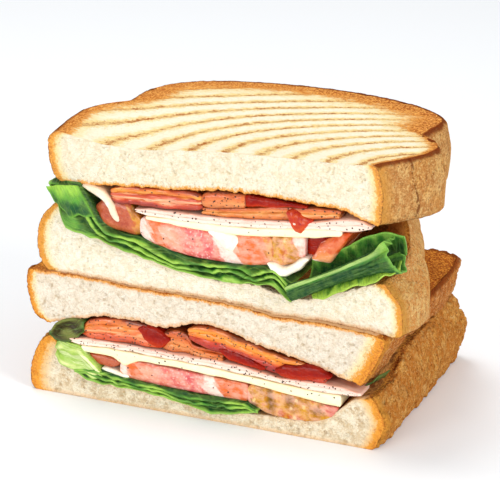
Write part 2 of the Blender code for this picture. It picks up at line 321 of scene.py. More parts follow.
class Wiring:
    """Makes and links the nodes of one shader or geometry tree."""

    # the node and output that give a place, in a shader tree or not
    PLACES = {True: ("ShaderNodeTexCoord", "Object"), False: ("GeometryNodeInputPosition", "Position")}

    def __init__(self, tree: NodeTree) -> None:
        """Starts on an empty tree.

        Args:
            tree: the tree to wire, which loses the nodes that it has.
        """
        self.tree = tree
        self.shading = tree.bl_idname == "ShaderNodeTree"
        tree.nodes.clear()

    def node(self, kind: str, feeds: dict | None = None, **settings: object) -> Node:
        """A new node.

        Args:
            kind: Blender's name for the node's type.
            feeds: what goes into its inputs, by name or number.
            settings: its properties.

        Returns:
            The node.
        """
        made = self.tree.nodes.new(kind)
        for label, value in settings.items():
            setattr(made, label, value)
        for label, value in (feeds or {}).items():
            self.feed(made.inputs[label], value)
        return made

    def feed(self, socket: Socket, value: object) -> None:
        """Links a socket to another one, or sets its value.

        Args:
            socket: the input.
            value: an output socket, a number, a vector, or a colour of 0 to 255.
        """
        if isinstance(value, Socket):
            self.tree.links.new(value, socket)
        elif socket.type == "RGBA":
            socket.default_value = (*srgb(*value), 1.0)
        else:
            socket.default_value = value

    def fill(self, node: Node, values: dict[str, object]) -> None:
        """Feeds a node's inputs.

        Args:
            node: the node.
            values: what goes in, by name in plain_words. Names that the node lacks are passed over.
        """
        for socket in node.inputs:
            label = plain_words(socket.name)
            if label in values:
                self.feed(socket, values[label])

    def maths(self, operation: str, *values: object) -> Socket:
        """The result of a Math node on these values."""
        return self.node("ShaderNodeMath", dict(enumerate(values)), operation=operation).outputs[0]

    def times(self, *values: object) -> Socket:
        """The product of one or more values."""
        return reduce(partial(self.maths, "MULTIPLY"), values)

    def plus(self, *values: object) -> Socket:
        """The sum of one or more values."""
        return reduce(partial(self.maths, "ADD"), values)

    def without(self, value: object) -> Socket:
        """1 less this value."""
        return self.maths("SUBTRACT", 1.0, value)

    def swing(self, base: object, *noises: tuple[object, float]) -> Socket:
        """A value with one or more noises about it, each given with its amount."""
        return self.plus(base, *(self.about(value, amount) for value, amount in noises))

    def about(self, value: object, amount: float) -> Socket:
        """Noise of 0 to 1 as a swing of half this amount to either side of zero."""
        return self.maths("MULTIPLY_ADD", value, amount, -0.5 * amount)

    def vector(self, operation: str, first: object, second: object) -> Socket:
        """The vector result of a Vector Math node, where the second input of SCALE is a number."""
        place = 3 if operation == "SCALE" else 1
        return self.node("ShaderNodeVectorMath", {0: first, place: second}, operation=operation).outputs[0]

    def xyz(self, *parts: object) -> Socket:
        """A vector of three values."""
        return self.node("ShaderNodeCombineXYZ", dict(enumerate(parts))).outputs[0]

    def step(self, value: object, low: float, high: float, start: float = 0.0, end: float = 1.0) -> Socket:
        """Goes smoothly from start to end as the value goes from low to high."""
        feeds = {"Value": value, "From Min": low, "From Max": high, "To Min": start, "To Max": end}
        return self.node("ShaderNodeMapRange", feeds, interpolation_type="SMOOTHSTEP").outputs["Result"]

    def fade(self, value: object, low: float, high: float, start: float = 1.0) -> Socket:
        """Goes smoothly from start down to 0 as the value goes from low to high."""
        return self.step(value, low, high, start, 0.0)

    def blend(self, share: object, first: object, second: object) -> Socket:
        """A colour this share of the way from the first to the second."""
        return self.node("ShaderNodeMix", {0: share, 6: first, 7: second}, data_type="RGBA").outputs[2]

    def paint(self, base: object, *coats: tuple) -> Socket:
        """A colour with others laid over it in turn.

        Args:
            base: the first colour.
            coats: for each, its colour and then the values whose product is its strength.

        Returns:
            The colour's socket.
        """
        for colour, *shares in coats:
            base = self.blend(self.times(*shares), base, colour)
        return base

    def ramp(self, value: object, stops: Rows) -> Socket:
        """A colour read from a band.

        Args:
            value: where to read it, from 0 to 1.
            stops: the band's positions, each with its red, green and blue of 0 to 255.

        Returns:
            The colour's socket.
        """
        made = self.node("ShaderNodeValToRGB", {0: value})
        band = made.color_ramp.elements
        while len(band) < len(stops):
            band.new(0.5)
        for element, (position, *colour) in zip(band, stops):
            element.position, element.color = position, (*srgb(*colour), 1.0)
        return made.outputs[0]

    def millimetres(self, stretch: Sequence[float] = (1, 1, 1)) -> Socket:
        """The place on the surface in millimetres, each axis multiplied by its stretch."""
        kind, output = self.PLACES[self.shading]
        return self.vector("MULTIPLY", self.node(kind).outputs[output], [s / MM for s in stretch])

    def drawn_out(self, stretch: object) -> Socket:
        """The place in millimetres, for a pattern that is drawn out along x by this much."""
        return self.vector("MULTIPLY", self.millimetres(), self.xyz(self.per(stretch), 1.0, 1.0))

    def noise(self, spot: object, size: object, detail: float = 2.0, rough: float = 0.5,
              seed: object = 0.0) -> Socket:
        """Noise from 0 to 1 at a spot in millimetres, in blots of this size. seed picks another pattern."""
        feeds = {"Vector": spot, "W": seed, "Scale": self.per(size), "Detail": detail, "Roughness": rough}
        return self.node("ShaderNodeTexNoise", feeds, noise_dimensions="4D").outputs[0]

    def cells(self, spot: object, size: object, feature: str = "F1") -> Socket:
        """The distance in a Voronoi pattern whose cells are size millimetres across."""
        feeds = {"Vector": spot, "Scale": self.per(size)}
        return self.node("ShaderNodeTexVoronoi", feeds, feature=feature).outputs["Distance"]

    def per(self, size: object) -> object:
        """1 divided by a size, which is a socket or a number."""
        return self.maths("DIVIDE", 1.0, size) if isinstance(size, Socket) else 1.0 / size

    def kept(self, label: str) -> Socket:
        """The value of one of the mesh's masks.

        Args:
            label: the mask's name.

        Returns:
            The value's socket.
        """
        if self.shading:
            return self.node("ShaderNodeAttribute", attribute_name=label).outputs["Fac"]
        return self.node("GeometryNodeInputNamedAttribute", {"Name": label}, data_type="FLOAT").outputs[0]

    def swell(self, geometry: Socket, lift: Socket) -> Socket:
        """Geometry whose points are moved out along their normals by this many metres."""
        shift = self.vector("SCALE", self.node("GeometryNodeInputNormal").outputs[0], lift)
        return self.node("GeometryNodeSetPosition", {"Geometry": geometry, "Offset": shift}).outputs[0]


@dataclass
class Group:
    """A node group with named inputs and outputs, and the wiring to fill it."""

    name: str
    kind: str
    inputs: dict[str, object]
    outputs: dict[str, str]
    tree: NodeTree = field(init=False)
    wiring: Wiring = field(init=False)
    entry: dict[str, Socket] = field(init=False)
    end: Node = field(init=False)

    TYPES = {float: "NodeSocketFloat", int: "NodeSocketInt", tuple: "NodeSocketColor"}

    @classmethod
    def of_mesh(cls, name: str, sizes: dict[str, object]) -> Group:
        """A geometry group with these inputs besides its mesh and its material."""
        mesh = {"Geometry": "NodeSocketGeometry"}
        return cls(name, "GeometryNodeTree", mesh | {"Material": "NodeSocketMaterial"} | sizes, mesh)

    @classmethod
    def of_colour(cls, name: str, inputs: dict[str, object]) -> Group:
        """A shader group with these inputs, which puts out a colour and a height."""
        return cls(name, "ShaderNodeTree", inputs, {"Color": "NodeSocketColor", "Height": "NodeSocketFloat"})

    def __post_init__(self) -> None:
        """Makes the group's tree with its sockets and its two end nodes."""
        self.tree = bpy.data.node_groups.new(self.name, self.kind)
        for label, default in self.inputs.items():
            typed = isinstance(default, str)
            kind = default if typed else self.TYPES[type(default)]
            socket = self.tree.interface.new_socket(label, in_out="INPUT", socket_type=kind)
            if not typed:
                socket.default_value = (*default, 1.0) if isinstance(default, tuple) else default
        for label, kind in self.outputs.items():
            self.tree.interface.new_socket(label, in_out="OUTPUT", socket_type=kind)
        self.wiring = Wiring(self.tree)
        self.entry = {s.name: s for s in self.wiring.node("NodeGroupInput").outputs if s.name}
        self.end = self.wiring.node("NodeGroupOutput")

    def give(self, **values: object) -> None:
        """Feeds the group's outputs, by name."""
        for label, value in values.items():
            self.wiring.feed(self.end.inputs[label], value)

    def give_mesh(self, geometry: Socket) -> None:
        """Ends a geometry group in real mesh with its material on it.

        Args:
            geometry: what the group has made.
        """
        real = self.wiring.node("GeometryNodeRealizeInstances", {0: geometry}).outputs[0]
        feeds = {"Geometry": real, "Material": self.entry["Material"]}
        self.give(Geometry=self.wiring.node("GeometryNodeSetMaterial", feeds).outputs[0])

    def grow(self, piece: Object, **sizes: object) -> Object:
        """Runs a geometry group on a piece and keeps the result as its plain mesh.

        Args:
            piece: the object to run it on.
            sizes: the inputs' values, by name in plain_words. Others are passed over.

        Returns:
            The same object.
        """
        modifier = piece.modifiers.new(self.name, "NODES")
        modifier.node_group = self.tree
        for socket in self.tree.interface.items_tree:
            label = plain_words(socket.name)
            if socket.in_out == "INPUT" and label in sizes:
                modifier[socket.identifier] = sizes[label]
        return plain(piece)

    def place(self, wiring: Wiring, **values: object) -> Node:
        """The shader group as a node of a material.

        Args:
            wiring: the material's wiring.
            values: the inputs' values, by name in plain_words. Others are passed over.

        Returns:
            The group's node.
        """
        made = wiring.node("ShaderNodeGroup", node_tree=self.tree)
        wiring.fill(made, values)
        return made


def new_material(name: str, **values: float) -> tuple[Material, Wiring, Node]:
    """A material with an empty tree but for its Principled shader and its output.

    Args:
        name: the material's name.
        values: the shader's plain values, by name in plain_words.

    Returns:
        The material, its wiring and its shader.
    """
    made = bpy.data.materials.new(name)
    made.use_nodes = True
    wiring = Wiring(made.node_tree)
    shader = wiring.node("ShaderNodeBsdfPrincipled")
    wiring.node("ShaderNodeOutputMaterial", {"Surface": shader.outputs[0]})
    wiring.fill(shader, values)
    return made, wiring, shader


def bump(wiring: Wiring, shader: Node, height: Socket, depth: float) -> None:
    """Gives a shader a relief that is depth millimetres deep."""
    made = wiring.node("ShaderNodeBump", {"Height": height, "Strength": 1.0, "Distance": depth * MM})
    wiring.feed(shader.inputs["Normal"], made.outputs[0])


# ---- relief, made with Geometry Nodes


def bread_relief() -> Group:
    """A geometry group that opens pores in the crumb, blisters the crust and sinks the grill lines.

    Returns:
        The group.
    """
    sizes = {"Pore size": 1.6, "Pore depth": 0.7, "Grain": 0.2, "Blister": 0.3, "Groove": 0.0, "Seed": 0.0}
    made = Group.of_mesh("Bread relief", sizes)
    w, entry = made.wiring, made.entry
    spot, cut, side = w.millimetres(), w.kept("cut"), w.kept("side")
    seed = entry["Seed"]
    curls = w.node("ShaderNodeTexNoise", {"Vector": spot, "Scale": 0.25}).outputs[1]
    swirl = w.vector("ADD", spot, w.vector("SCALE", curls, 3.0))
    large = w.fade(w.cells(swirl, entry["Pore size"]), 0.15, 0.52)
    small = w.fade(w.cells(swirl, w.times(entry["Pore size"], 0.45)), 0.1, 0.5)
    opened = w.step(w.noise(spot, 3.0, 3.0, seed=seed), 0.40, 0.56)
    pore = w.maths("MAXIMUM", w.times(large, opened), w.times(small, 0.4))
    grain = w.about(w.noise(spot, 0.8, 3.0, 0.6), 1.0)
    coarse = w.about(w.noise(spot, 5.0, 3.0, 0.6, seed), 1.0)
    brink = w.step(w.maths("MINIMUM", w.kept("outer"), w.kept("inner")), 0.0, 1.2, 0.3, 1.0)
    pits = w.times(pore, entry["Pore depth"], -1.0, brink)
    crumb = w.plus(pits, w.times(grain, entry["Grain"]), w.times(coarse, 0.5, brink))
    blisters = w.about(w.noise(spot, 1.7, 4.0, 0.7, seed), 1.2)
    ridges = w.maths("ABSOLUTE", w.about(w.noise(w.millimetres((1, 1, 0.35)), 4.5, 2.0, 0.5, seed), 2.0))
    crust = w.times(w.plus(blisters, w.times(w.step(ridges, 0.0, 0.3), 0.5)), entry["Blister"])
    groove = w.times(w.kept("grilled"), entry["Groove"], -1.0)
    flat = w.plus(w.times(coarse, 0.35), w.times(grain, 0.12), groove)
    body = w.plus(w.times(crust, side), w.times(flat, w.without(side)))
    lift = w.plus(w.times(crumb, cut), w.times(body, w.without(cut)))
    moved = w.swell(entry["Geometry"], w.times(lift, w.kept("free"), MM))
    feeds = {"Geometry": moved, "Name": "pore", "Value": pore}
    stored = w.node("GeometryNodeStoreNamedAttribute", feeds, data_type="FLOAT", domain="POINT")
    made.give_mesh(stored.outputs[0])
    return made


def soft_relief() -> Group:
    """A geometry group that gives a piece of filling its lumps and its fine grain.

    Returns:
        The group.
    """
    sizes = {"Lump size": 4.0, "Lump": 0.3, "Grain size": 1.0, "Grain": 0.1, "Stretch": 1.0, "Seed": 0.0}
    made = Group.of_mesh("Soft relief", sizes)
    w, entry = made.wiring, made.entry
    spot = w.drawn_out(entry["Stretch"])
    lumps = w.times(w.about(w.noise(spot, entry["Lump size"], 1.0, 0.5, entry["Seed"]), 2.0), entry["Lump"])
    grain = w.times(w.about(w.noise(spot, entry["Grain size"], 3.0, 0.6, entry["Seed"]), 2.0), entry["Grain"])
    made.give_mesh(w.swell(entry["Geometry"], w.times(w.plus(lumps, grain), MM)))
    return made


def scattering() -> Group:
    """A geometry group that leaves small uneven grains on a surface, and nothing of the surface itself.

    Returns:
        The group.
    """
    sizes = {"Per square centimetre": 4.0, "Smallest": 0.2, "Largest": 0.6, "Long": 1.0, "Seed": 1}
    made = Group.of_mesh("Scattered grains", {"Where": "NodeSocketString"} | sizes)
    w, entry = made.wiring, made.entry
    seed = {"Seed": entry["Seed"]}
    density = w.times(entry["Per square centimetre"], 1 / SQUARE_CENTIMETRE, w.kept(entry["Where"]))
    feeds = {"Mesh": entry["Geometry"], "Density": density} | seed
    points = w.node("GeometryNodeDistributePointsOnFaces", feeds, distribute_method="RANDOM")
    ball = w.node("GeometryNodeMeshIcoSphere", {"Radius": 0.5 * MM, "Subdivisions": 2}).outputs[0]
    grain = w.swell(ball, w.about(w.noise(w.millimetres(), 0.5, 1.0), 0.7 * MM))
    feeds = {2: entry["Smallest"], 3: entry["Largest"]} | seed
    size = w.node("FunctionNodeRandomValue", feeds, data_type="FLOAT").outputs[1]
    feeds = {0: (0, 0, 0), 1: (0.6, 0.6, 6.28)} | seed
    spin = w.node("FunctionNodeRandomValue", feeds, data_type="FLOAT_VECTOR").outputs[0]
    feeds = {0: points.outputs["Rotation"], 1: spin}
    turn = w.node("FunctionNodeRotateRotation", feeds, rotation_space="LOCAL").outputs[0]
    scale = w.vector("SCALE", w.xyz(entry["Long"], 1.0, 0.75), size)
    feeds = {"Points": points.outputs[0], "Instance": grain, "Rotation": turn, "Scale": scale}
    made.give_mesh(w.node("GeometryNodeInstanceOnPoints", feeds).outputs[0])
    return made


# ---- bread


class Face(Enum):
    """The two flat faces of a slice of bread."""

    UNDER = 0
    OVER = 1


@dataclass(frozen=True)
class Browning:
    """How far a slice is toasted: its colours, and how strong each kind of browning is."""

    name: str
    crust: Colour = (240, 186, 120)
    crust_dark: Colour = (188, 116, 58)
    edge: Colour = (232, 164, 70)
    edge_light: Colour = (252, 226, 164)
    rim: Colour = (150, 68, 24)
    crumb: Colour = (252, 243, 222)
    crumb_shade: Colour = (246, 230, 198)
    shadow: Colour = (216, 196, 148)
    seared: Colour = (184, 112, 48)
    face: Colour = (198, 130, 62)
    outer_edge: float = 0.4
    inner_edge: float = 0.6
    grill: float = 0.0
    blister: float = 0.25
    mottle: float = 0.35
    crack: float = -40.0


class Toasting:
    """The shader group that colours bread by how near its crust and its toasted faces are."""

    COLOURS = ("Crust", "Crust dark", "Edge", "Edge light", "Rim", "Crumb", "Crumb shade", "Shadow", "Seared",
               "Face")
    AMOUNTS = {"Outer edge": 0.5, "Inner edge": 0.5, "Grill": 0.0, "Mottle": 0.35, "Crack": 0.0, "Seed": 0.0}

    def __init__(self) -> None:
        """Makes the group, with the noises, pits and creases that its parts share."""
        self.group = Group.of_colour("Toasting", dict.fromkeys(self.COLOURS, (0.5, 0.5, 0.5)) | self.AMOUNTS)
        self.wiring, self.entry = w, entry = self.group.wiring, self.group.entry
        self.spot, self.seed = w.millimetres(), entry["Seed"]
        self.outer, self.inner, self.pore = w.kept("outer"), w.kept("inner"), w.kept("pore")
        self.fine = w.noise(self.spot, 0.6, 3.0, 0.7, self.seed)
        self.middling = w.noise(self.spot, 2.4, 3.0, 0.6, self.seed)
        self.broad = w.noise(self.spot, 11.0, 2.0, 0.5, self.seed)
        self.specks = w.step(w.noise(self.spot, 0.5, 2.0, 0.7, self.seed), 0.60, 0.74)
        self.pits = w.noise(w.millimetres((1, 1, 0.7)), 1.0, 3.0, 0.7, self.seed)
        wrinkles = w.noise(w.millimetres((1, 0.6, 0.35)), 3.4, 3.0, 0.6, self.seed)
        self.creased = w.maths("ABSOLUTE", w.about(wrinkles, 2.0))
        place = w.plus(w.kept("depth"), w.times(entry["Crack"], -1.0))
        off_crack = w.maths("ABSOLUTE", w.swing(place, (self.broad, 8.0), (self.fine, 0.8)))
        broken = w.step(self.middling, 0.36, 0.46)
        self.crack = w.times(w.fade(off_crack, 0.1, 0.55), w.kept("right"), w.kept("side"), broken)

    def crumb(self) -> Socket:
        """The crumb's colour: its pores, and golden where it nears the crust or a toasted face.

        Returns:
            The colour's socket.
        """
        w, entry, fine, middling, pore = self.wiring, self.entry, self.fine, self.middling, self.pore
        near = w.swing(w.kept("crusted"), (middling, 0.8), (fine, 0.9))
        crumb = w.paint(
            entry["Crumb"],
            (entry["Crumb shade"], w.step(w.plus(w.times(middling, 0.6), w.times(fine, 0.4)), 0.40, 0.62)),
            (entry["Shadow"], w.step(pore, 0.25, 0.9), 0.4),
            (entry["Shadow"], self.specks, w.plus(0.12, w.times(entry["Mottle"], 0.4))),
            (entry["Edge light"], w.fade(near, 0.8, 1.7, 0.85)),
            (entry["Edge"], w.fade(near, 0.55, 1.0)),
            (entry["Crust dark"], w.fade(near, 0.2, 0.8), w.step(fine, 0.42, 0.58)),
        )
        for distance, amount in ((self.outer, entry["Outer edge"]), (self.inner, entry["Inner edge"])):
            ragged = w.swing(distance, (middling, 2.2), (fine, 2.4))
            crumb = w.paint(
                crumb,
                (entry["Edge"], w.fade(ragged, 0.5, 1.5), amount),
                (entry["Seared"], w.fade(ragged, -0.2, 0.5), amount),
                (entry["Rim"], w.fade(ragged, -0.5, 0.3), amount, w.step(pore, 0.1, 0.4)),
            )
        return crumb

    def crust(self) -> Socket:
        """The colour of the crust's sides: blotches and patches; painted shade in its creases, pits and
        crack, with painted highlights on the creases' ridges; and its darker lips.

        Returns:
            The colour's socket.
        """
        w, entry, fine, middling = self.wiring, self.entry, self.fine, self.middling
        mottle = entry["Mottle"]
        patches = w.noise(w.millimetres((1, 1, 0.6)), 2.2, 4.0, 0.75, self.seed)
        glow = w.fade(w.swing(w.kept("depth"), (middling, 2.5), (fine, 1.5)), 0.8, 5.5)
        lip = w.swing(w.maths("MINIMUM", self.outer, w.plus(self.inner, 0.8)), (middling, 1.6), (fine, 1.2))
        return w.paint(
            entry["Crust"],
            (entry["Edge"], w.step(self.broad, 0.4, 0.62, 0.0, 0.5)),
            (entry["Crust dark"], w.fade(self.broad, 0.34, 0.48, 0.4)),
            (entry["Crust dark"], w.step(patches, 0.48, 0.62), mottle),
            (entry["Edge light"], w.step(patches, 0.46, 0.3), mottle, 0.8),
            # painted shade in the creases and a painted highlight on their ridges
            (entry["Crust dark"], w.fade(self.creased, 0.0, 0.16), mottle),
            (entry["Edge light"], w.step(self.creased, 0.3, 0.6), mottle, 0.7),
            (entry["Crust dark"], w.step(fine, 0.48, 0.6), 0.8),
            # the pits darkened where the relief sinks them: painted shade
            (entry["Rim"], w.step(self.pits, 0.53, 0.66), w.plus(w.times(mottle, 0.7), 0.15)),
            (entry["Edge light"], w.step(fine, 0.46, 0.36), 0.5),
            (entry["Edge"], glow, 0.8),
            (entry["Rim"], w.fade(lip, 0.3, 1.3, 0.9)),
            # the crack darkened along its sunken line: painted shade in it
            (entry["Rim"], self.crack, 0.7),
        )

    def face(self) -> Socket:
        """The colour of the toasted faces: grill lines in broken flecks, and a browned rim.

        Returns:
            The colour's socket.
        """
        w, entry, fine, middling = self.wiring, self.entry, self.fine, self.middling
        grill, plain_face = entry["Grill"], w.without(entry["Grill"])
        lane = w.swing(w.kept("lane"), (middling, 0.4), (fine, 0.34))
        off_line = w.maths("ABSOLUTE", w.maths("SUBTRACT", w.maths("FRACT", lane), 0.5))
        along = w.millimetres((0.3, 1, 1))
        streaks = w.noise(along, 0.9, 3.0, 0.7, self.seed)
        flecks = w.step(streaks, 0.36, 0.62)
        patchy = w.step(w.noise(along, 5.0, 2.0, 0.5, self.seed), 0.25, 0.6, 0.35, 1.0)
        by_line = w.swing(off_line, (fine, 0.3), (streaks, 0.5))
        front = w.fade(w.swing(w.kept("depth"), (middling, 4.0)), 1.5, 5.0, 0.9)
        golden = w.maths("MAXIMUM", entry["Inner edge"], w.step(fine, 0.45, 0.55, 0.0, 0.5))
        hem = w.blend(golden, entry["Crumb shade"], entry["Edge"])
        ring = w.swing(w.kept("toasted"), (self.broad, 0.5), (middling, 0.5), (fine, 0.8), (streaks, 1.8))
        scorched = w.plus(0.4, w.times(w.kept("right"), 0.55))
        fringe = w.fade(w.swing(w.kept("depth"), (fine, 1.2)), 0.3, 1.0, 0.6)
        verge = w.fade(w.swing(w.kept("wall"), (fine, 1.2)), 0.5, 1.1)
        return w.paint(
            entry["Face"],
            (entry["Edge light"], w.fade(by_line, 0.1, 0.36), grill),
            (entry["Seared"], w.step(middling, 0.4, 0.66), plain_face),
            (hem, front, plain_face),
            (entry["Edge light"], w.fade(ring, 0.8, 2.4, 0.9), grill),
            (entry["Seared"], w.fade(off_line, 0.03, 0.15), w.plus(0.15, w.times(flecks, 0.85)), patchy,
             grill),
            (entry["Rim"], w.fade(off_line, 0.02, 0.1), flecks, patchy, grill, 0.5),
            (entry["Edge"], w.fade(ring, 0.75, 1.3, 0.9)),
            (entry["Seared"], w.fade(ring, 0.5, 1.4), w.step(fine, 0.42, 0.54, 0.1, 1.0)),
            (entry["Rim"], w.fade(ring, 0.1, 1.2), w.step(fine, 0.5, 0.62), scorched),
            (entry["Edge light"], fringe, grill),
            (entry["Rim"], verge, scorched, grill),
            (entry["Seared"], self.specks, 0.22),
        )

    def height(self) -> Socket:
        """The fine relief: grain and pores, with pits, creases and the crack in the crust.

        Returns:
            The height's socket.
        """
        w, mottle, side = self.wiring, self.entry["Mottle"], self.wiring.kept("side")
        tiny = w.step(w.cells(self.spot, 0.9), 0.1, 0.55)
        rough = w.times(w.plus(w.times(self.pits, -1.6), self.fine), side, w.plus(0.6, mottle))
        creases = w.times(w.fade(self.creased, 0.0, 0.3, -2.2), side, mottle)
        rough = w.plus(rough, w.times(self.crack, -2.0), creases)
        grain = (w.times(self.fine, 0.8), w.times(self.middling, 0.5), w.times(tiny, 0.35))
        return w.plus(*grain, w.times(self.pore, -0.3), rough)

    def build(self) -> Group:
        """Wires the parts to the group's outputs.

        Returns:
            The group.
        """
        w = self.wiring
        skin = w.blend(w.kept("side"), self.face(), self.crust())
        colour = w.blend(w.step(w.kept("cut"), 0.3, 0.7), skin, self.crumb())
        self.group.give(Color=colour, Height=self.height())
        return self.group


@dataclass
class Toast:
    """Half a slice of bread: a straight cut in front, crust on its other three sides.

    left and right give the x of the crust by share of the height, and the plans how far it then
    stands out by depth. under and over give the heights along the cut. pocket is the face towards
    the filling, which closes up to rim along the crust.
    """

    name: str
    half: Half
    left: Rows
    right: Rows
    left_plan: Rows
    right_plan: Rows
    under: Rows
    over: Rows
    pocket: Face
    rim: Rows
    browning: Browning
    start: float
    rise: float
    squareness: float
    lean: Rows
    curl: float = 0.0
    fray: float = 0.3
    waver: float = 0.0
    crusts: tuple[float, float] = (3.0, 3.0)
    band: Rows = ((10, 4.0), (124, 2.2))
    upright: float = 0.0
    level_at: float | None = None
    seed: float = 0.0
    pore_size: float = 1.7
    pore_depth: float = 0.45
    right_shut: tuple[float, float] = (8.0, 32.0)
    counts: tuple[int, int, int] = (330, 70, 56)

    EDGE_ROUND, EDGE_SHARE = 1.3, 0.1  # how far the edges are rounded, and in which share of the height
    POCKET_END, POCKET_SIDE, LEFT_SHUT = (0.79, 0.96), (0.86, 0.97), (26.0, 44.0)  # where it closes
    UPRIGHT_FROM, LEVEL_FROM, BAND_FROM = (8, 60), (0, 45), (20, 42)  # depths over which each sets in
    CURL_ACROSS, CURL_BACK = (108, 122), (66, 78)  # the corner that curls up
    TORN_DEPTH, WAVY_DEPTH = 2.5, 8.0  # how far back the cut's torn and wavy edges reach
    FRONT_BAND = ((10, 5.0), (60, 4.0), (124, 2.0))  # the browned rim near the cut
    LANE_CENTRE, LANE_SPAN, LINE_WIDTH = (70, 30), (50, 30), (0.2, 0.05)  # of the grill lines

    @property
    def sides(self) -> tuple:
        """The outline, plan and outward sign of the left and the right crust."""
        return (self.left, self.left_plan, -1), (self.right, self.right_plan, 1)

    def tuck(self, height: Array) -> Array:
        """How far the crust's rounded edges step back at this share of the height."""
        from_edge = np.minimum(height, 1 - height) / self.EDGE_SHARE
        return self.EDGE_ROUND * np.clip(1 - from_edge, 0.0, 1.0) ** 2

    def side(self, edge: Rows, plan: Rows, sign: int, depth: Array, height: Array) -> Array:
        """The x of a crust.

        Args:
            edge: its outline by share of the height.
            plan: how far it then stands out by depth.
            sign: 1 on the right, -1 on the left.
            depth: the depth.
            height: the share of the height.

        Returns:
            The x.
        """
        outline = through(edge)
        toasted = outline(np.float64(1 - self.pocket.value))
        slanted = mix(outline(height), toasted, self.upright * ease(*self.UPRIGHT_FROM, depth))
        return slanted + through(plan)(depth) - sign * self.tuck(height)

    def plan(self, share: Array, depth_share: Array, height: Array) -> tuple[Array, Array, Array]:
        """A point of the patch between the cut, the two sides and the back.

        Args:
            share: how far from the left crust to the right one.
            depth_share: how far from the cut to the back.
            height: the share of the height.

        Returns:
            The x, the depth and the distance from the crust.
        """
        start = self.start - through(self.lean)(height) - self.tuck(height)
        ends = [self.side(*side, depth_share * start, height) for side in self.sides]
        bulge = (1 - np.abs(2 * share - 1) ** self.squareness) ** (1 / self.squareness)
        reach = start + self.rise * bulge
        across = ends[1] - ends[0]
        wall = np.minimum.reduce([share * across, (1 - share) * across, (1 - depth_share) * reach])
        return mix(*ends, share), depth_share * reach, wall

    def levels(self, x: Array, y: Array, shut: Array) -> list[Array]:
        """The heights of the slice's under face and over face.

        Args:
            x: the x.
            y: the depth.
            shut: how far the pocket is closed, from 0 to 1.

        Returns:
            The two heights.
        """
        levels = [through(self.under)(x), through(self.over)(x)]
        inner, outer = self.pocket.value, 1 - self.pocket.value
        levels[inner] = mix(levels[inner], through(self.rim)(x), shut)
        if self.level_at is not None:
            levels[outer] = mix(levels[outer], self.level_at, ease(*self.LEVEL_FROM, y))
        levels[outer] = levels[outer] + self.curl * ease(*self.CURL_ACROSS, x) * ease(*self.CURL_BACK, y)
        crumbs = 1.4 * ripple(x, 2.3, self.seed + 1) * ripple(x, 7.7, self.seed + 2)
        torn = self.fray * (ripple(x, 6.1, self.seed) + crumbs)
        levels[inner] = levels[inner] + torn * ease(self.TORN_DEPTH, 0.0, y)
        wavy = self.waver * (ripple(x, 13.0, 0.0) + 0.6 * ripple(x, 5.0, 1.0))
        levels[outer] = levels[outer] + wavy * ease(self.WAVY_DEPTH, 0.0, y)
        return levels

    @classmethod
    def lane(cls, x: Array, y: Array) -> Array:
        """How many grill lines lie before a place, with fractions. The lines run aslant and curve.

        Args:
            x: the x.
            y: the depth.

        Returns:
            The count at each place.
        """
        placed = zip((x, y), cls.LANE_CENTRE, cls.LANE_SPAN)
        u, v = ((place - middle) / span for place, middle, span in placed)
        lane = 4.58 + 3.813 * u - 3.179 * v + 0.249 * u * u - 0.749 * u * v - 0.884 * v * v
        bend = -0.28 * u**3 - 0.272 * u * u * v - 0.386 * u * v * v + 0.492 * v**3
        return lane + bend

    def place(self, share: Array, depth_share: Array, height: Array) -> Spots:
        """Points of the slice, and what its material needs to know about them.

        Args:
            share: how far from the left crust to the right one.
            depth_share: how far from the cut to the back.
            height: the share of the height.

        Returns:
            The points and the masks.
        """
        x, y, wall = self.plan(share, depth_share, height)
        shut = np.maximum.reduce([
            ease(*self.POCKET_SIDE, 1 - share) * ease(*self.LEFT_SHUT, y),
            ease(*self.POCKET_SIDE, share) * ease(*self.right_shut, y),
            ease(*self.POCKET_END, depth_share),
        ])
        levels = self.levels(x, y, shut)
        inner, outer = self.pocket.value, 1 - self.pocket.value
        z = mix(*levels, height)
        lane = self.lane(x, y)
        masks = {
            "wall": wall,
            "toasted": wall / mix(through(self.FRONT_BAND)(x), through(self.band)(x),
                                  ease(*self.BAND_FROM, y)),
            "crusted": wall / np.where(share < 0.5, *self.crusts),
            "outer": np.abs(levels[outer] - z),
            "inner": np.abs(levels[inner] - z),
            "side": ((share == 0) | (share == 1) | (depth_share == 1)).astype(float),
            "cut": (depth_share == 0).astype(float),
            "depth": y,
            "right": (share > 0.5).astype(float),
            "free": ease(0.0, 1.0, z),
            "lane": lane,
            "grilled": ease(*self.LINE_WIDTH, np.abs(lane % 1 - 0.5)),
        }
        return Kitchen.spot(self.half, x, y, z), masks

    def dress(self, toasting: Group) -> Material:
        """The slice's material.

        Args:
            toasting: the bread's shader group.

        Returns:
            The material.
        """
        made, w, shader = new_material(self.name + " toast", roughness=0.9, specular_ior_level=0.03)
        colours = toasting.place(w, seed=self.seed, **vars(self.browning))
        w.feed(shader.inputs["Base Color"], colours.outputs["Color"])
        bump(w, shader, colours.outputs["Height"], 0.7)
        return made

    def build(self, relief: Group, toasting: Group) -> Object:
        """Makes the slice in place of its node.

        Args:
            relief: the bread's geometry group.
            toasting: the bread's shader group.

        Returns:
            The slice.
        """
        piece = block(self.name + "_toast", self.counts, self.place)
        sizes = {"pore_size": self.pore_size, "pore_depth": self.pore_depth, "blister": self.browning.blister}
        relief.grow(piece, groove=0.2 * self.browning.grill, seed=self.seed, material=self.dress(toasting),
                    **sizes)
        serve(piece, self.name, self.name)
        return piece


# ---- fillings


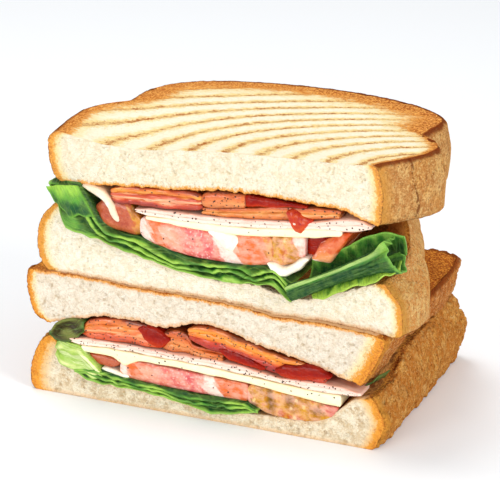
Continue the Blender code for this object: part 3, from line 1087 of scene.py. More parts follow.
def speckle_group() -> Group:
    """A shader group that lays two sizes of soft blots over a colour.

    Returns:
        The group.
    """
    colours = {"Color": (0.5, 0.5, 0.5), "Blots": (0.5, 0.5, 0.5), "Specks": (0.2, 0.1, 0.05)}
    amounts = {"Blot size": 3.0, "Blot amount": 0.5, "Speck size": 0.6, "Speck amount": 0.2, "Stretch": 1.0,
               "Seed": 0.0}
    made = Group.of_colour("Blots and specks", colours | amounts)
    w, entry = made.wiring, made.entry
    spot = w.drawn_out(entry["Stretch"])
    blots = w.noise(spot, entry["Blot size"], 3.0, 0.6, entry["Seed"])
    specks = w.noise(spot, entry["Speck size"], 2.0, 0.65, entry["Seed"])
    colour = w.paint(
        entry["Color"],
        (entry["Blots"], w.step(blots, 0.36, 0.66), entry["Blot amount"]),
        (entry["Specks"], w.step(specks, 0.56, 0.72), entry["Speck amount"]),
    )
    made.give(Color=colour, Height=w.plus(blots, w.times(specks, 0.5)))
    return made


@dataclass(frozen=True)
class Finish:
    """The look of a filling: a band of colours from foot to head, overlaid with blots and specks.

    The band's rows are (share of the height, red, green, blue), with colours of 0 to 255.
    """

    name: str
    band: Rows
    blots: Colour
    specks: Colour
    blot_size: float = 3.0
    blot_amount: float = 0.4
    speck_size: float = 0.6
    speck_amount: float = 0.2
    stretch: float = 1.0
    roughness: float = 0.4
    gloss: float = 0.0
    waver: float = 0.2
    relief: float = 0.2
    glow: float = 0.0
    specular: float = 0.3
    # a darker colour near the strip's edges: char on bacon, painted shade on ham, and on other strips just
    # darker towards the edges
    char: float = 0.0
    charred: Colour = (84, 30, 14)

    def colour(self, w: Wiring) -> Socket:
        """The base colour before blots and specks: the band, read by the height share.

        Args:
            w: the material's wiring.

        Returns:
            The colour's socket.
        """
        sway = w.about(w.noise(w.millimetres((1 / self.stretch, 1, 1)), self.blot_size, 2.0), 2 * self.waver)
        base = w.ramp(w.plus(w.kept("high"), sway), self.band)
        if not self.char:
            return base
        # darker near the edges: char on bacon, painted shade along the edges of the ham's leaves
        from_edge = w.swing(w.kept("edge"), (w.noise(w.millimetres(), 1.6, 4.0, 0.7), 1.6))
        return w.paint(base, (self.charred, w.fade(from_edge, 0.1, 0.45, self.char)))

    def material(self, blotting: Group, seed: float) -> Material:
        """The finish as a material.

        Args:
            blotting: the shader group of blots and specks.
            seed: picks the pattern.

        Returns:
            The material.
        """
        sheen = {"roughness": self.roughness, "specular_ior_level": self.specular}
        sheen |= {"coat_weight": self.gloss, "coat_roughness": 0.1}
        if self.glow:
            sheen |= {"subsurface_weight": self.glow, "subsurface_radius": (1.0, 0.6, 0.4)}
            sheen |= {"subsurface_scale": 1.5 * MM}
        made, w, shader = new_material(self.name, **sheen)
        blotted = blotting.place(w, color=self.colour(w), seed=seed, **vars(self))
        w.feed(shader.inputs["Base Color"], blotted.outputs["Color"])
        bump(w, shader, blotted.outputs["Height"], self.relief)
        return made


@dataclass(frozen=True)
class TomatoFinish(Finish):
    """Tomato flesh, with its skin, white pith and seedy gel where the masks say so."""

    skin: Colour = (224, 106, 44)
    core: Colour = (214, 84, 88)
    pith: Colour = (252, 226, 214)
    seeds: Colour = (238, 206, 132)
    murk: Rows = (
        (0.32, 92, 54, 6), (0.41, 144, 96, 8), (0.49, 188, 124, 14), (0.55, 214, 156, 44),
        (0.61, 196, 100, 14), (0.7, 172, 54, 8),
    )

    def colour(self, w: Wiring) -> Socket:
        """The base colour of tomato.

        Args:
            w: the material's wiring.

        Returns:
            The colour's socket.
        """
        spot = w.millimetres()
        fine, middling = w.noise(spot, 0.9, 3.0, 0.65), w.noise(spot, 2.6, 2.0, 0.5)
        fibres = w.noise(w.millimetres((0.5, 1, 1)), 1.3, 3.0, 0.65)
        core = w.times(w.kept("core"), w.step(middling, 0.3, 0.6, 0.4, 1.0))
        # small pale spots in the core: painted highlights, glints on the wet flesh
        glints = w.fade(w.cells(spot, 1.1), 0.18, 0.4)
        clouds = w.noise(w.millimetres((1, 1, 0.7)), 5.5, 3.0, 0.5)
        pale = w.fade(w.cells(w.millimetres((1, 1, 0.6)), 2.4), 0.2, 0.34)
        murky = w.ramp(w.swing(clouds, (fine, 0.1)), self.murk)
        murky = w.paint(murky, (self.seeds, pale, w.step(middling, 0.48, 0.56), 0.8))
        return w.paint(
            super().colour(w),
            (self.pith, w.step(fibres, 0.52, 0.7, 0.0, 0.6)),
            (self.core, core),
            (self.pith, core, glints, 0.55),
            (self.pith, w.step(w.swing(w.kept("pith"), (middling, 1.1), (fine, 0.4)), 0.35, 0.7)),
            (murky, w.step(w.swing(w.kept("gel"), (middling, 0.7)), 0.35, 0.65)),
            (self.skin, w.step(w.swing(w.kept("skin"), (middling, 0.4)), 0.35, 0.65)),
        )


WHOLE = ((0.0, 1.0, 0.0),)


@dataclass
class Layer:
    """A strip of filling that runs back through the food, seen at its cut end.

    rows are (x, low, high) along the cut. front and back are depths, as a number or as rows along x.
    lobes are the shares of the height, with a setback, that each leaf of a folded strip takes up.
    bulge is how far the cut end swells. masks are curves along x for the finish. A strip with a slot
    is laid beside that node's piece. One without stands for node, or for the node of its own name.
    """

    name: str
    half: Half
    rows: Rows
    finish: Finish
    back: Rows | float
    front: Rows | float = 0.0
    slot: str = ""
    node: str = ""
    lobes: tuple[Triple, ...] = WHOLE
    bulge: float = 0.5
    firmness: float = 4.5
    end_round: float = 1.5
    end_height: float = 0.4
    sway: float = 0.0
    sprinkle: float = 0.0
    masks: dict[str, Rows] = field(default_factory=dict)
    relief: dict[str, float] = field(default_factory=dict)
    cell: float = 0.36
    seed: float = 0.0

    FEWEST_ALONG, CELLS_BACK, FEWEST_UP = 12, 16, 6

    def place(self, lobe: Triple) -> Place:
        """How the points of one leaf of the strip are placed.

        Args:
            lobe: its shares of the height and its setback.

        Returns:
            The function that block needs.
        """
        foot, head, setback = lobe
        low, high = through(self.rows), through(self.rows, 2)
        front, back = through(self.front), through(self.back)
        first, last = self.rows[0][0], self.rows[-1][0]

        def spot(share: Array, depth_share: Array, height: Array) -> Spots:
            """The points and masks of the leaf.

            Args:
                share: how far from the strip's left end to its right one.
                depth_share: how far from the cut to the back.
                height: the share of the leaf's height.

            Returns:
                The points and the masks.
            """
            x = mix(first, last, share)
            inside = np.minimum(x - first, last - x)
            from_end = np.clip(inside / self.end_round, 0.0, 1.0)
            thick = mix(self.end_height, 1.0, np.sqrt(1 - (1 - from_end) ** 2))
            uneven = [edge + 0.06 * ripple(x, 9.0, self.seed + 7 * edge) * (0 < edge < 1)
                      for edge in (foot, head)]
            level = mix(*uneven, 0.5 + (height - 0.5) * thick)
            swell = 1 - np.abs(2 * height - 1) ** self.firmness * np.ones_like(x)
            near = front(x) + setback + self.bulge * (1 - swell * np.sqrt(0.15 + 0.85 * from_end))
            near = near + self.sway * ripple(x, 14.0, self.seed + 3 * foot)
            y = mix(near, np.maximum(back(x), near + 0.5), depth_share**1.6)
            z = mix(low(x), high(x), level) + 0.12 * self.sway * ripple(x, 9.0, self.seed + 5 * foot)
            probe = x + 3.0 * (level - 0.5) + 1.2 * ripple(x + 9 * level, 5.0, self.seed)
            masks = {label: through(rows)(probe) for label, rows in self.masks.items()}
            masks["high"] = level
            masks["edge"] = np.minimum((0.5 - np.abs(level - 0.5)) * (high(x) - low(x)), inside)
            amid = ease(0.02, 0.3, 0.5 - np.abs(height - 0.5))
            masks["sprinkle"] = self.sprinkle * (depth_share == 0) * amid
            return Kitchen.spot(self.half, x, y, z), masks

        return spot

    def build(self, relief: Group, blotting: Group) -> Object:
        """Makes the strip in place of its node, or beside it when the strip has a slot.

        Args:
            relief: the geometry group of lumps and grain.
            blotting: the shader group of blots and specks.

        Returns:
            The strip.
        """
        table = np.array(self.rows, float)
        long = table[-1, 0] - table[0, 0]
        tall = float(np.max(table[:, 2] - table[:, 1]))
        made = []
        for number, lobe in enumerate(self.lobes):
            high = max(self.FEWEST_UP, round(tall * (lobe[1] - lobe[0]) / self.cell))
            counts = (max(self.FEWEST_ALONG, round(long / self.cell)), self.CELLS_BACK, high)
            made.append(block(f"{self.name}_{number}", counts, self.place(lobe)))
        piece = joined(self.name, made)
        sizes = {"lump_size": 4.0, "lump": 0.3, "grain_size": 0.9, "grain": 0.08, "stretch": 1.0}
        sizes |= self.relief
        relief.grow(piece, material=self.finish.material(blotting, self.seed), seed=self.seed, **sizes)
        node = self.node or self.name
        serve(piece, self.slot or node, *(() if self.slot else (node,)))
        return piece


@dataclass
class Rasher(Layer):
    """A rasher of bacon, folded in three."""

    lobes: tuple[Triple, ...] = ((0.0, 0.4, 0.3), (0.32, 0.72, 0.0), (0.64, 1.0, 0.5))
    bulge: float = 0.6
    end_round: float = 2.0
    sway: float = 0.6
    relief: dict[str, float] = field(default_factory=lambda: MEATY)


@dataclass
class Sauce(Layer):
    """A blob of sauce, which thins out towards its ends."""

    end_round: float = 2.0
    end_height: float = 0.1
    relief: dict[str, float] = field(default_factory=lambda: DRIPPING)


# ---- lettuce


@dataclass(frozen=True)
class LeafFinish:
    """The greens of a leaf of lettuce. Its darkest green is also painted shade in the folds, and its lightest
    green also painted light on the crests.
    """

    name: str
    deep: Colour = (26, 70, 30)
    green: Colour = (80, 144, 44)
    light: Colour = (154, 196, 76)
    margin: Colour = (150, 194, 80)
    vein: Colour = (160, 204, 100)
    roughness: float = 0.42
    streaks: float = 0.6

    SHEEN = {"specular_ior_level": 0.2, "coat_weight": 0.06, "coat_roughness": 0.2}
    BLOTS = {"blot_size": 2.2, "blot_amount": 0.16, "speck_size": 0.7, "speck_amount": 0.2}

    def material(self, blotting: Group, seed: float) -> Material:
        """The leaf's material: painted shade in its folds, painted light on its crests, and paler veins and
        margin.

        Args:
            blotting: the shader group of blots and specks.
            seed: picks the pattern.

        Returns:
            The material.
        """
        made, w, shader = new_material(self.name, roughness=self.roughness, **self.SHEEN)
        middling = w.noise(w.millimetres(), 3.5, 3.0, 0.6, seed)
        crest = w.swing(w.kept("crest"), (middling, 0.5))
        along = w.xyz(w.times(w.kept("along"), 0.12), w.kept("across"), seed)
        streak = w.noise(along, 1.0, 3.0, 0.65)
        web = w.fade(w.cells(along, 1.9, "DISTANCE_TO_EDGE"), 0.02, 0.09)
        # from painted shade in the folds through green to painted light on the crests, then the leaf's own
        # streaks, veins and margin
        colour = w.paint(
            self.deep,
            (self.green, w.step(crest, 0.15, 0.6)),
            (self.light, w.step(crest, 0.5, 0.95)),
            (self.deep, w.step(streak, 0.48, 0.64), self.streaks),
            (self.light, w.step(streak, 0.44, 0.32), 0.8 * self.streaks),
            (self.vein, web, 0.3 * self.streaks),
            (self.vein, w.kept("rib")),
            (self.margin, w.fade(w.swing(w.kept("margin"), (middling, 1.2)), 0.1, 1.1, 0.8)),
        )
        blotted = blotting.place(w, color=colour, blots=self.light, specks=self.deep, seed=seed, **self.BLOTS)
        w.feed(shader.inputs["Base Color"], blotted.outputs["Color"])
        height = w.plus(w.times(streak, 1.2 * self.streaks), w.times(web, 0.4), blotted.outputs["Height"])
        bump(w, shader, height, 0.35)
        return made


class Leaf:
    """A thin piece of lettuce over a surface of its own."""

    counts: tuple[int, int]
    thickness: float
    surface: Surface

    def build(self) -> Object:
        """Makes the leaf's mesh."""
        return sheet("leaf", self.counts, self.surface, self.thickness)


@dataclass
class LeafBand(Leaf):
    """Leaves seen edge-on at the cut, in folds that run along it, and going back under the food.

    lower and upper are rows of (x, height) that bound the band, and reach is how far back it goes.
    """

    half: Half
    lower: Rows
    upper: Rows
    reach: Rows | float
    folds: float = 3.0
    fold_depth: float = 2.0
    front: Rows | float = -1.2
    frill: float = 0.3
    frill_length: float = 10.0
    drift: float = 0.6
    seed: float = 0.0
    thickness: float = 0.5
    counts: tuple[int, int] = (260, 96)
    rib: float = 0.0

    SEEN = 0.72  # share of the sheet's width that lies in the band

    def surface(self, along: Array, across: Array) -> Spots:
        """Points of the leaf.

        Args:
            along: share of the way along the band.
            across: share of the way from its lower edge up and then back into the food.

        Returns:
            The points and the masks.
        """
        first, last = self.lower[0][0], self.lower[-1][0]
        x = mix(first, last, along)
        band = np.clip(across / self.SEEN, 0.0, 1.0)
        inside = np.clip((across - self.SEEN) / (1 - self.SEEN), 0.0, 1.0)
        low, high, front = (through(rows)(x) for rows in (self.lower, self.upper, self.front))
        tall = high - low
        shift = self.drift * ripple(x, 26.0, self.seed)
        wave = 0.5 - 0.5 * np.cos(2 * math.pi * (self.folds * band + shift * np.sin(math.pi * band)))
        depth = self.fold_depth * ease(0, 5, tall) * (0.75 + 0.35 * ripple(x, 17.0, self.seed + 2))
        frill = self.frill * ripple(x, self.frill_length, self.seed + 1) * (1 - band) ** 2
        y = front + depth * wave + 0.35 * frill
        top = front + depth * (0.5 - 0.5 * math.cos(2 * math.pi * self.folds))
        y = mix(y, np.maximum(through(self.reach)(x), top + 1.0), inside**1.5)
        rumple = 0.35 * ripple(x + 5 * band, 7.0, self.seed + 4) * np.sin(math.pi * band)
        z = mix(low, high, band) + frill + rumple - 0.8 * inside
        # painted light: brightest on the crests of the folds, painted shade in their hollows, and brighter
        # and darker in turn along the band
        lit = 0.8 + 0.5 * ripple(x + 8 * band, 24.0, self.seed + 6)
        masks = {
            "crest": (1 - wave) ** 2 * lit + 0.1 * ripple(x, 9.0, self.seed + 7),
            "margin": np.minimum(band * (tall + 1.5) + 20 * (inside > 0),
                                 0.9 * np.minimum(x - first, last - x)),
            "along": x,
            "across": band * np.maximum(tall, 3.0) + 6 * inside,
            "rib": self.rib * ease(0.12, 0.03, np.abs(band - 0.5)),
        }
        return Kitchen.spot(self.half, x, y, z), masks


@dataclass
class LeafRoll(Leaf):
    """A leaf rolled into a widening tube along its rib, open at its right end."""

    start: Triple
    end: Triple
    radii: Rows
    turn: tuple[float, float]
    half: Half = Half.UPPER
    rib_at: float = 38.0
    wrinkle: float = 0.25
    flare: float = 1.6
    seed: float = 0.0
    thickness: float = 0.5
    counts: tuple[int, int] = (170, 110)

    def surface(self, along: Array, across: Array) -> Spots:
        """Points of the leaf.

        Args:
            along: share of the way along the tube.
            across: share of the way round it.

        Returns:
            The points and the masks.
        """
        start, end = np.array(self.start), np.array(self.end)
        length = float(np.linalg.norm(end - start))
        axis = (end - start) / length
        up = np.array([-axis[2], 0.0, axis[0]]) / math.hypot(axis[0], axis[2])
        out = np.cross(up, axis)
        out = out if out[1] < 0 else -out
        degrees = mix(*self.turn, across)
        from_rib, angle = np.abs(degrees - self.rib_at), np.radians(degrees)
        rib, edge = ease(13.0, 4.0, from_rib), ease(0.82, 1.0, along)
        creases = ripple(degrees, 44.0, self.seed) * (0.4 + along)
        radius = through(self.radii)(along) * (1 + 0.05 * creases) + 0.45 * rib
        radius = radius + self.wrinkle * ripple(degrees + 60 * along, 27.0, self.seed + 1)
        radius = radius + self.flare * edge * (0.6 + 0.6 * ripple(degrees, 62.0, self.seed + 2))
        reach = along + 0.02 * edge * ripple(degrees, 70.0, self.seed + 3)
        centre = start + np.multiply.outer(reach, end - start)
        points = centre + (radius * np.cos(angle))[:, None] * up + (radius * np.sin(angle))[:, None] * out
        sides = np.minimum(degrees - self.turn[0], self.turn[1] - degrees)
        # the first mask is painted light near the rib, on the roll's lit side, and at its open end, with
        # painted shade away from them; the pale rib is partly real and partly a painted highlight
        masks = {
            "crest": 0.55 * ease(52, 8, from_rib) + 0.15 * creases + 0.3 * edge,
            "margin": np.minimum((1 - along) * length * 0.8, 0.06 * sides),
            "along": along * length,
            "across": degrees * 0.1,
            "rib": 0.75 * rib * ease(1.0, 0.8, along),
        }
        return Kitchen.spot(self.half, *points.T), masks


@dataclass
class LeafFlap(Leaf):
    """A flap of leaf between two lines of points, rumpled, with a frilly far edge."""

    near: Rows  # (x, depth, height) along the edge that is tucked in
    far: Rows  # the same along the free edge
    half: Half = Half.UPPER
    belly: float = 1.0
    frill: float = 0.8
    frill_length: float = 5.0
    rumple: float = 0.4
    # painted light at the tucked edge and at the free edge; low values are painted shade
    crest: tuple[float, float] = (0.2, 0.9)
    seed: float = 0.0
    thickness: float = 0.45
    counts: tuple[int, int] = (130, 48)

    @staticmethod
    def line(rows: Rows, share: Array) -> Array:
        """Points along a line, by share of its length in x."""
        x = mix(rows[0][0], rows[-1][0], share)
        return np.stack([x, through(rows, 1)(x), through(rows, 2)(x)], -1)

    def surface(self, along: Array, across: Array) -> Spots:
        """Points of the flap.

        Args:
            along: share of the way along its edges.
            across: share of the way from the tucked edge to the free one.

        Returns:
            The points and the masks.
        """
        near, far = self.line(self.near, along), self.line(self.far, along)
        points = mix(near, far, across[:, None])
        width = np.linalg.norm(far - near, axis=1)
        x = near[:, 0]
        lift = self.belly * np.sin(math.pi * across)
        frill = self.frill * ripple(x, self.frill_length, self.seed) * across**2
        rumple = self.rumple * ripple(x + 4 * across, 6.5, self.seed + 1) * np.sin(math.pi * across)
        points[:, 1] += -0.7 * lift + 0.8 * frill
        points[:, 2] += 0.5 * lift + frill + rumple
        length = self.far[-1][0] - self.far[0][0]
        masks = {
            # painted light and shade that go from the tucked edge to the free one
            "crest": mix(*self.crest, across) + 0.25 * ripple(x + 3 * across, 5.5, self.seed + 2),
            "margin": np.minimum((1 - across) * width, np.minimum(along, 1 - along) * length),
            "along": across * width,
            "across": x,
            "rib": np.zeros_like(along),
        }
        return Kitchen.spot(self.half, *points.T), masks


@dataclass
class Salad:
    """Leaves that stand together for one node."""

    name: str
    node: str
    finish: LeafFinish
    leaves: Sequence[Leaf]
    seed: float = 0.0

    RELIEF = {"lump_size": 3.0, "lump": 0.15, "grain_size": 1.1, "grain": 0.08, "stretch": 1.0}

    def build(self, relief: Group, blotting: Group) -> Object:
        """Makes the leaves in place of their node.

        Args:
            relief: the geometry group of lumps and grain.
            blotting: the shader group of blots and specks.

        Returns:
            The leaves as one piece.
        """
        piece = joined(self.name, [leaf.build() for leaf in self.leaves])
        relief.grow(piece, material=self.finish.material(blotting, self.seed), seed=self.seed, **self.RELIEF)
        serve(piece, self.node, self.node)
        return piece


# ---- seasoning


@dataclass(frozen=True)
class GrainFinish:
    """The colours of small scattered grains."""

    name: str
    colour: Colour
    other: Colour
    roughness: float = 0.7

    def material(self) -> Material:
        """The grains' material: two colours that vary from grain to grain.

        Returns:
            The material.
        """
        made, w, shader = new_material(self.name, roughness=self.roughness)
        varied = w.noise(w.millimetres(), 1.2, 2.0, 0.6)
        w.feed(shader.inputs["Base Color"], w.blend(w.step(varied, 0.35, 0.65), self.colour, self.other))
        bump(w, shader, w.noise(w.millimetres(), 0.25, 2.0), 0.1)
        return made


@dataclass
class Seasoning:
    """One kind of small grain, scattered over the pieces that carry it."""

    name: str
    finish: GrainFinish
    where: str
    per_square_centimetre: float
    smallest: float
    largest: float
    long: float = 1.0
    seed: int = 1

    def build(self, scatter: Group, carriers: Sequence[Object], slot: str) -> Object:
        """Scatters the grains.

        Args:
            scatter: the geometry group.
            carriers: the pieces that they lie on.
            slot: the record's slot for their finish.

        Returns:
            The grains as one piece.
        """
        copies = []
        for carrier in carriers:
            copy = carrier.copy()
            copy.data = carrier.data.copy()
            for label in list(copy.keys()):  # what the carrier says about itself
                del copy[label]
            bpy.context.scene.collection.objects.link(copy)
            copies.append(copy)
        piece = joined(self.name, copies)
        piece.data.materials.clear()
        scatter.grow(piece, material=self.finish.material(), **vars(self))
        serve(piece, slot)
        return piece


# ---- stage


@dataclass
class Studio:
    """A pale floor, soft lights and the camera.

    Angles are in degrees, the aim is a place on the lower half, and the rest is in metres. The lens
    and its sensor are in millimetres, and colours are linear. Each lamp has a name, a place, a width
    and a power.
    """

    azimuth: float = 23.3
    elevation: float = 20.9
    distance: float = 0.8
    aim: Triple = (68.6, 28.7, 50.0)
    lens: float = 174.4
    sensor: float = 36.0
    nearest: float = 0.01
    floor_reach: float = 3.0
    floor_colour: Triple = (0.955, 0.967, 0.98)
    sky_colour: Triple = (0.97, 0.985, 1.0)
    sky: float = 0.56
    lit: Triple = (0.0, 0.0, 0.045)
    lamps: tuple = (
        ("key", (-0.28, 0.12, 0.95), 0.45, 4.0),
        ("front", (-0.30, -0.95, 0.20), 0.50, 4.8),
        ("side", (0.90, -0.35, 0.50), 0.45, 5.6),
    )

    def build(self) -> None:
        """Makes the whole stage."""
        self.lay_floor()
        self.light()
        self.aim_camera()

    def lay_floor(self) -> None:
        """Makes the floor."""
        corners = self.floor_reach * np.array([(-1, -1, 0), (1, -1, 0), (1, 1, 0), (-1, 1, 0)])
        floor = new_piece("floor", corners, np.array([[0, 1, 2, 3]]))
        made, _, shader = new_material("pale floor", roughness=0.9, specular_ior_level=0.1)
        shader.inputs["Base Color"].default_value = (*self.floor_colour, 1.0)
        floor.data.materials.append(made)

    def light(self) -> None:
        """Makes the sky and the lamps."""
        world = bpy.data.worlds.new("studio")
        bpy.context.scene.world = world
        world.use_nodes = True
        sky = world.node_tree.nodes["Background"].inputs
        sky["Color"].default_value, sky["Strength"].default_value = (*self.sky_colour, 1.0), self.sky
        for name, place, width, power in self.lamps:
            lamp = bpy.data.lights.new(name, "AREA")
            lamp.size, lamp.energy = width, power
            holder = bpy.data.objects.new(name, lamp)
            holder.location = place
            holder.rotation_euler = (Vector(self.lit) - Vector(place)).to_track_quat("-Z", "Y").to_euler()
            bpy.context.scene.collection.objects.link(holder)

    def aim_camera(self) -> None:
        """Makes the camera and the way its picture is shown."""
        azimuth, elevation = math.radians(self.azimuth), math.radians(self.elevation)
        level = math.cos(elevation)
        away = Vector((math.sin(azimuth) * level, -math.cos(azimuth) * level, math.sin(elevation)))
        lens = bpy.data.cameras.new("camera")
        lens.sensor_width, lens.lens, lens.clip_start = self.sensor, self.lens, self.nearest
        camera = bpy.data.objects.new("camera", lens)
        camera.location = Vector(Kitchen.spot(Half.LOWER, *self.aim)) + away * self.distance
        camera.rotation_euler = (-away).to_track_quat("-Z", "Y").to_euler()
        bpy.context.scene.collection.objects.link(camera)
        bpy.context.scene.camera = camera
        bpy.context.scene.view_settings.view_transform = "Standard"


# ---- the sandwich

STRAIGHT = ((0, 0), (40, 0.6), (80, 0))
SEAM = ((2, 43.4), (10, 43.7), (27, 43.3), (42, 42.6), (63, 42.4), (77, 41.8), (91, 40.5), (105, 40.6),
        (119, 40), (131, 38.6))
DOME = {"start": 54.0, "rise": 22.0, "squareness": 2.0}
LOWER_REACH = ((12, 22), (26, 42), (38, 54), (98, 54), (108, 28), (121, 6))
UPPER_REACH = ((10, 20), (26, 28), (34, 34), (44, 46), (60, 51), (96, 51), (107, 32), (121, 6))


def toasts() -> list[Toast]:
    """The four slices of bread, from the table up.

    Returns:
        The slices.
    """
    rough = Browning(
        "rough toast", crust=(254, 192, 106), crust_dark=(218, 134, 54), edge=(244, 168, 68),
        rim=(166, 84, 26), crumb=(246, 234, 208), crumb_shade=(220, 196, 158), shadow=(186, 146, 98),
        seared=(150, 92, 48), edge_light=(250, 200, 130), face=(226, 160, 88), outer_edge=0.3,
        inner_edge=0.15, blister=1.7, mottle=0.95,
    )
    seared = Browning(
        "seared toast", crust=(240, 164, 90), crust_dark=(204, 118, 54), edge=(238, 160, 62),
        rim=(154, 72, 26), crumb=(244, 233, 214), crumb_shade=(228, 211, 186), shadow=(178, 146, 96),
        seared=(176, 98, 40), face=(222, 144, 66), outer_edge=0.9, inner_edge=0.5, blister=1.1, mottle=0.9,
    )
    smooth = Browning(
        "smooth toast", crumb=(253, 244, 224), crumb_shade=(242, 228, 198), outer_edge=0.5, inner_edge=0.15,
        crust=(255, 212, 138), crust_dark=(226, 146, 74), mottle=0.6,
    )
    grilled = Browning(
        "grilled toast", crumb=(248, 238, 214), crumb_shade=(238, 221, 188), face=(255, 245, 217),
        outer_edge=0.0, inner_edge=0.95, grill=1.0, seared=(206, 120, 52), edge=(244, 172, 80),
        edge_light=(250, 222, 154), crack=11.0, crust=(248, 196, 124), crust_dark=(200, 128, 66),
        rim=(132, 54, 18), mottle=0.6,
    )
    return [
        Toast(
            "lower_bottom_bread", Half.LOWER,
            left=((0, 1), (0.2, 0.4), (0.36, 0.6), (0.6, 2), (0.84, 4.4), (1, 7.4)),
            right=((0, 124.6), (0.5, 127.4), (1, 124.2)), left_plan=STRAIGHT,
            right_plan=((0, 0), (12, 1.2), (50, 0.8), (80, 0)), under=((0, 0), (130, 0)),
            over=((8, 21), (11, 18.6), (16, 10.9), (20, 8.2), (25, 6.5), (42, 6.2), (56, 4.9), (66, 3.4),
                  (77, 4.6), (90, 5.4), (102, 6), (109, 9), (113, 13), (118, 16.7), (122, 17.5), (126, 18.2)),
            pocket=Face.OVER, rim=((0, 22), (80, 22.5), (128, 25)), browning=rough, start=78.0, rise=6.0,
            squareness=6.0, lean=((0, 0), (0.5, 0.5), (1, 4)), seed=1.0, pore_size=1.9, pore_depth=0.6,
            crusts=(5.0, 3.6), fray=0.2,
        ),
        Toast(
            "lower_top_bread", Half.LOWER, left=((0, 6), (0.15, 3), (0.4, 1.2), (0.7, 0.2), (1, 0.8)),
            right=((0, 120.4), (0.5, 124.4), (1, 127.2)), left_plan=STRAIGHT,
            right_plan=((0, 0), (20, 1.2), (60, 0.6), (80, -1)),
            under=((4, 24.5), (8, 25.3), (14, 26.7), (20, 28.6), (30, 30.8), (41, 31), (48, 30.2), (54, 30.8),
                   (59, 33), (66, 33.7), (73, 32.9), (81, 30.4), (90, 28.6), (98, 27.2), (107, 25),
                   (112, 23.5), (117, 22.2), (121, 21.4)), over=tuple((x, z - 0.03) for x, z in SEAM),
            pocket=Face.UNDER, rim=((0, 24), (80, 24.5), (128, 27)), browning=seared, start=70.0, rise=7.0,
            squareness=6.0, lean=((0, 0), (0.5, 0.5), (1, 0)), curl=1.6, upright=0.7, seed=2.0,
            crusts=(2.6, 5.0), band=((10, 40), (124, 40)), waver=0.22,
        ),
        Toast(
            "upper_bottom_bread", Half.UPPER,
            left=((0, 7), (0.2, 5), (0.35, 4.4), (0.52, 4.6), (0.71, 6), (0.89, 9.2), (1, 12.4)),
            right=((0, 131.8), (0.5, 131.4), (1, 125.8)),
            left_plan=((0, 0), (15, 0), (24, 3), (30, 9), (36, 13), (46, 15), (56, 18)),
            right_plan=((0, 0), (8, 2.4), (16, 3.2), (22, 1.4), (26.5, -1.6), (33, -4), (42, -7), (56, -13)),
            under=tuple((x, z + 0.03) for x, z in SEAM),
            over=((13, 68.6), (16, 65), (20, 60.6), (26, 57.6), (31, 55.7), (39, 54.2), (46, 52.6),
                  (53, 50.9), (63, 50), (69, 49), (81, 49.4), (88, 48), (95, 46.8), (102, 47.8), (108, 50.2),
                  (115, 53), (122, 55.4), (128, 57.4)), pocket=Face.OVER,
            rim=((12, 68), (110, 68), (130, 71)), browning=smooth, lean=((0, 1), (0.5, 0), (1, 4)), seed=3.0,
            crusts=(3.4, 2.6), waver=0.22, **DOME,
        ),
        Toast(
            "upper_top_bread", Half.UPPER, left=((0, 13), (0.15, 11.4), (0.5, 9.6), (0.8, 9.4), (1, 10.6)),
            right=((0, 124), (0.5, 124.4), (1, 122.8)),
            left_plan=((0, 0), (8, -0.8), (17, -1.2), (23, -0.8), (28, 1.4), (31, 4), (35, 9), (40, 10),
                       (47, 10.2), (56, 13.4)),
            right_plan=((0, 0), (8, 5), (16, 10), (25, 12), (31, 9.5), (36.5, 3), (43, 3.4), (50, 4.5),
                        (56, 4)),
            over=((11, 92.2), (21, 91.1), (29, 90), (39, 89.7), (46, 90.2), (60, 91.6), (78, 93), (108, 93.8),
                  (123, 94.6)),
            under=((13, 75.1), (28, 76), (39, 77), (46, 77.4), (57, 78.2), (64, 79), (72, 79.8), (78, 80),
                   (88, 79.9), (98, 79.4), (110, 79), (114, 78), (120, 76), (126, 74.6)), pocket=Face.UNDER,
            rim=((10, 72), (110, 72), (130, 73)), browning=grilled, lean=((0, 3), (0.5, 0), (1, 0)),
            level_at=93.2, seed=4.0, pore_size=1.5,
            band=((12, 11), (26, 15), (34, 11), (45, 8.5), (70, 8), (95, 9.5), (112, 11), (126, 8)),
            crusts=(3.4, 2.8), **DOME,
        ),
    ]


# its darker edges are painted shade along the edges of the ham's leaves, where they meet
HAM = Finish(
    "ham", band=((0, 252, 232, 214), (0.4, 251, 226, 208), (0.8, 247, 208, 190), (1, 238, 184, 160)),
    blots=(250, 214, 198), specks=(214, 140, 110), blot_amount=0.6, speck_size=0.5, speck_amount=0.35,
    stretch=3.0, gloss=0.15, glow=0.1, char=0.5, charred=(216, 142, 100),
)
CHEESE = Finish(
    "cheese", band=((0, 248, 230, 176), (0.2, 253, 244, 206), (0.8, 253, 246, 212), (1, 250, 236, 192)),
    blots=(250, 236, 184), specks=(232, 200, 128), blot_size=5.0, blot_amount=0.5, speck_size=0.9,
    stretch=2.0, gloss=0.1, relief=0.12, glow=0.15,
)
PALE_STRIP = Finish(
    "pale strip", band=((0, 252, 240, 222), (0.6, 250, 234, 212), (1, 236, 200, 160)), blots=(242, 212, 176),
    specks=(206, 130, 80), blot_amount=0.6, speck_amount=0.3, roughness=0.32, gloss=0.3, glow=0.1, char=0.35,
    charred=(196, 120, 70),
)
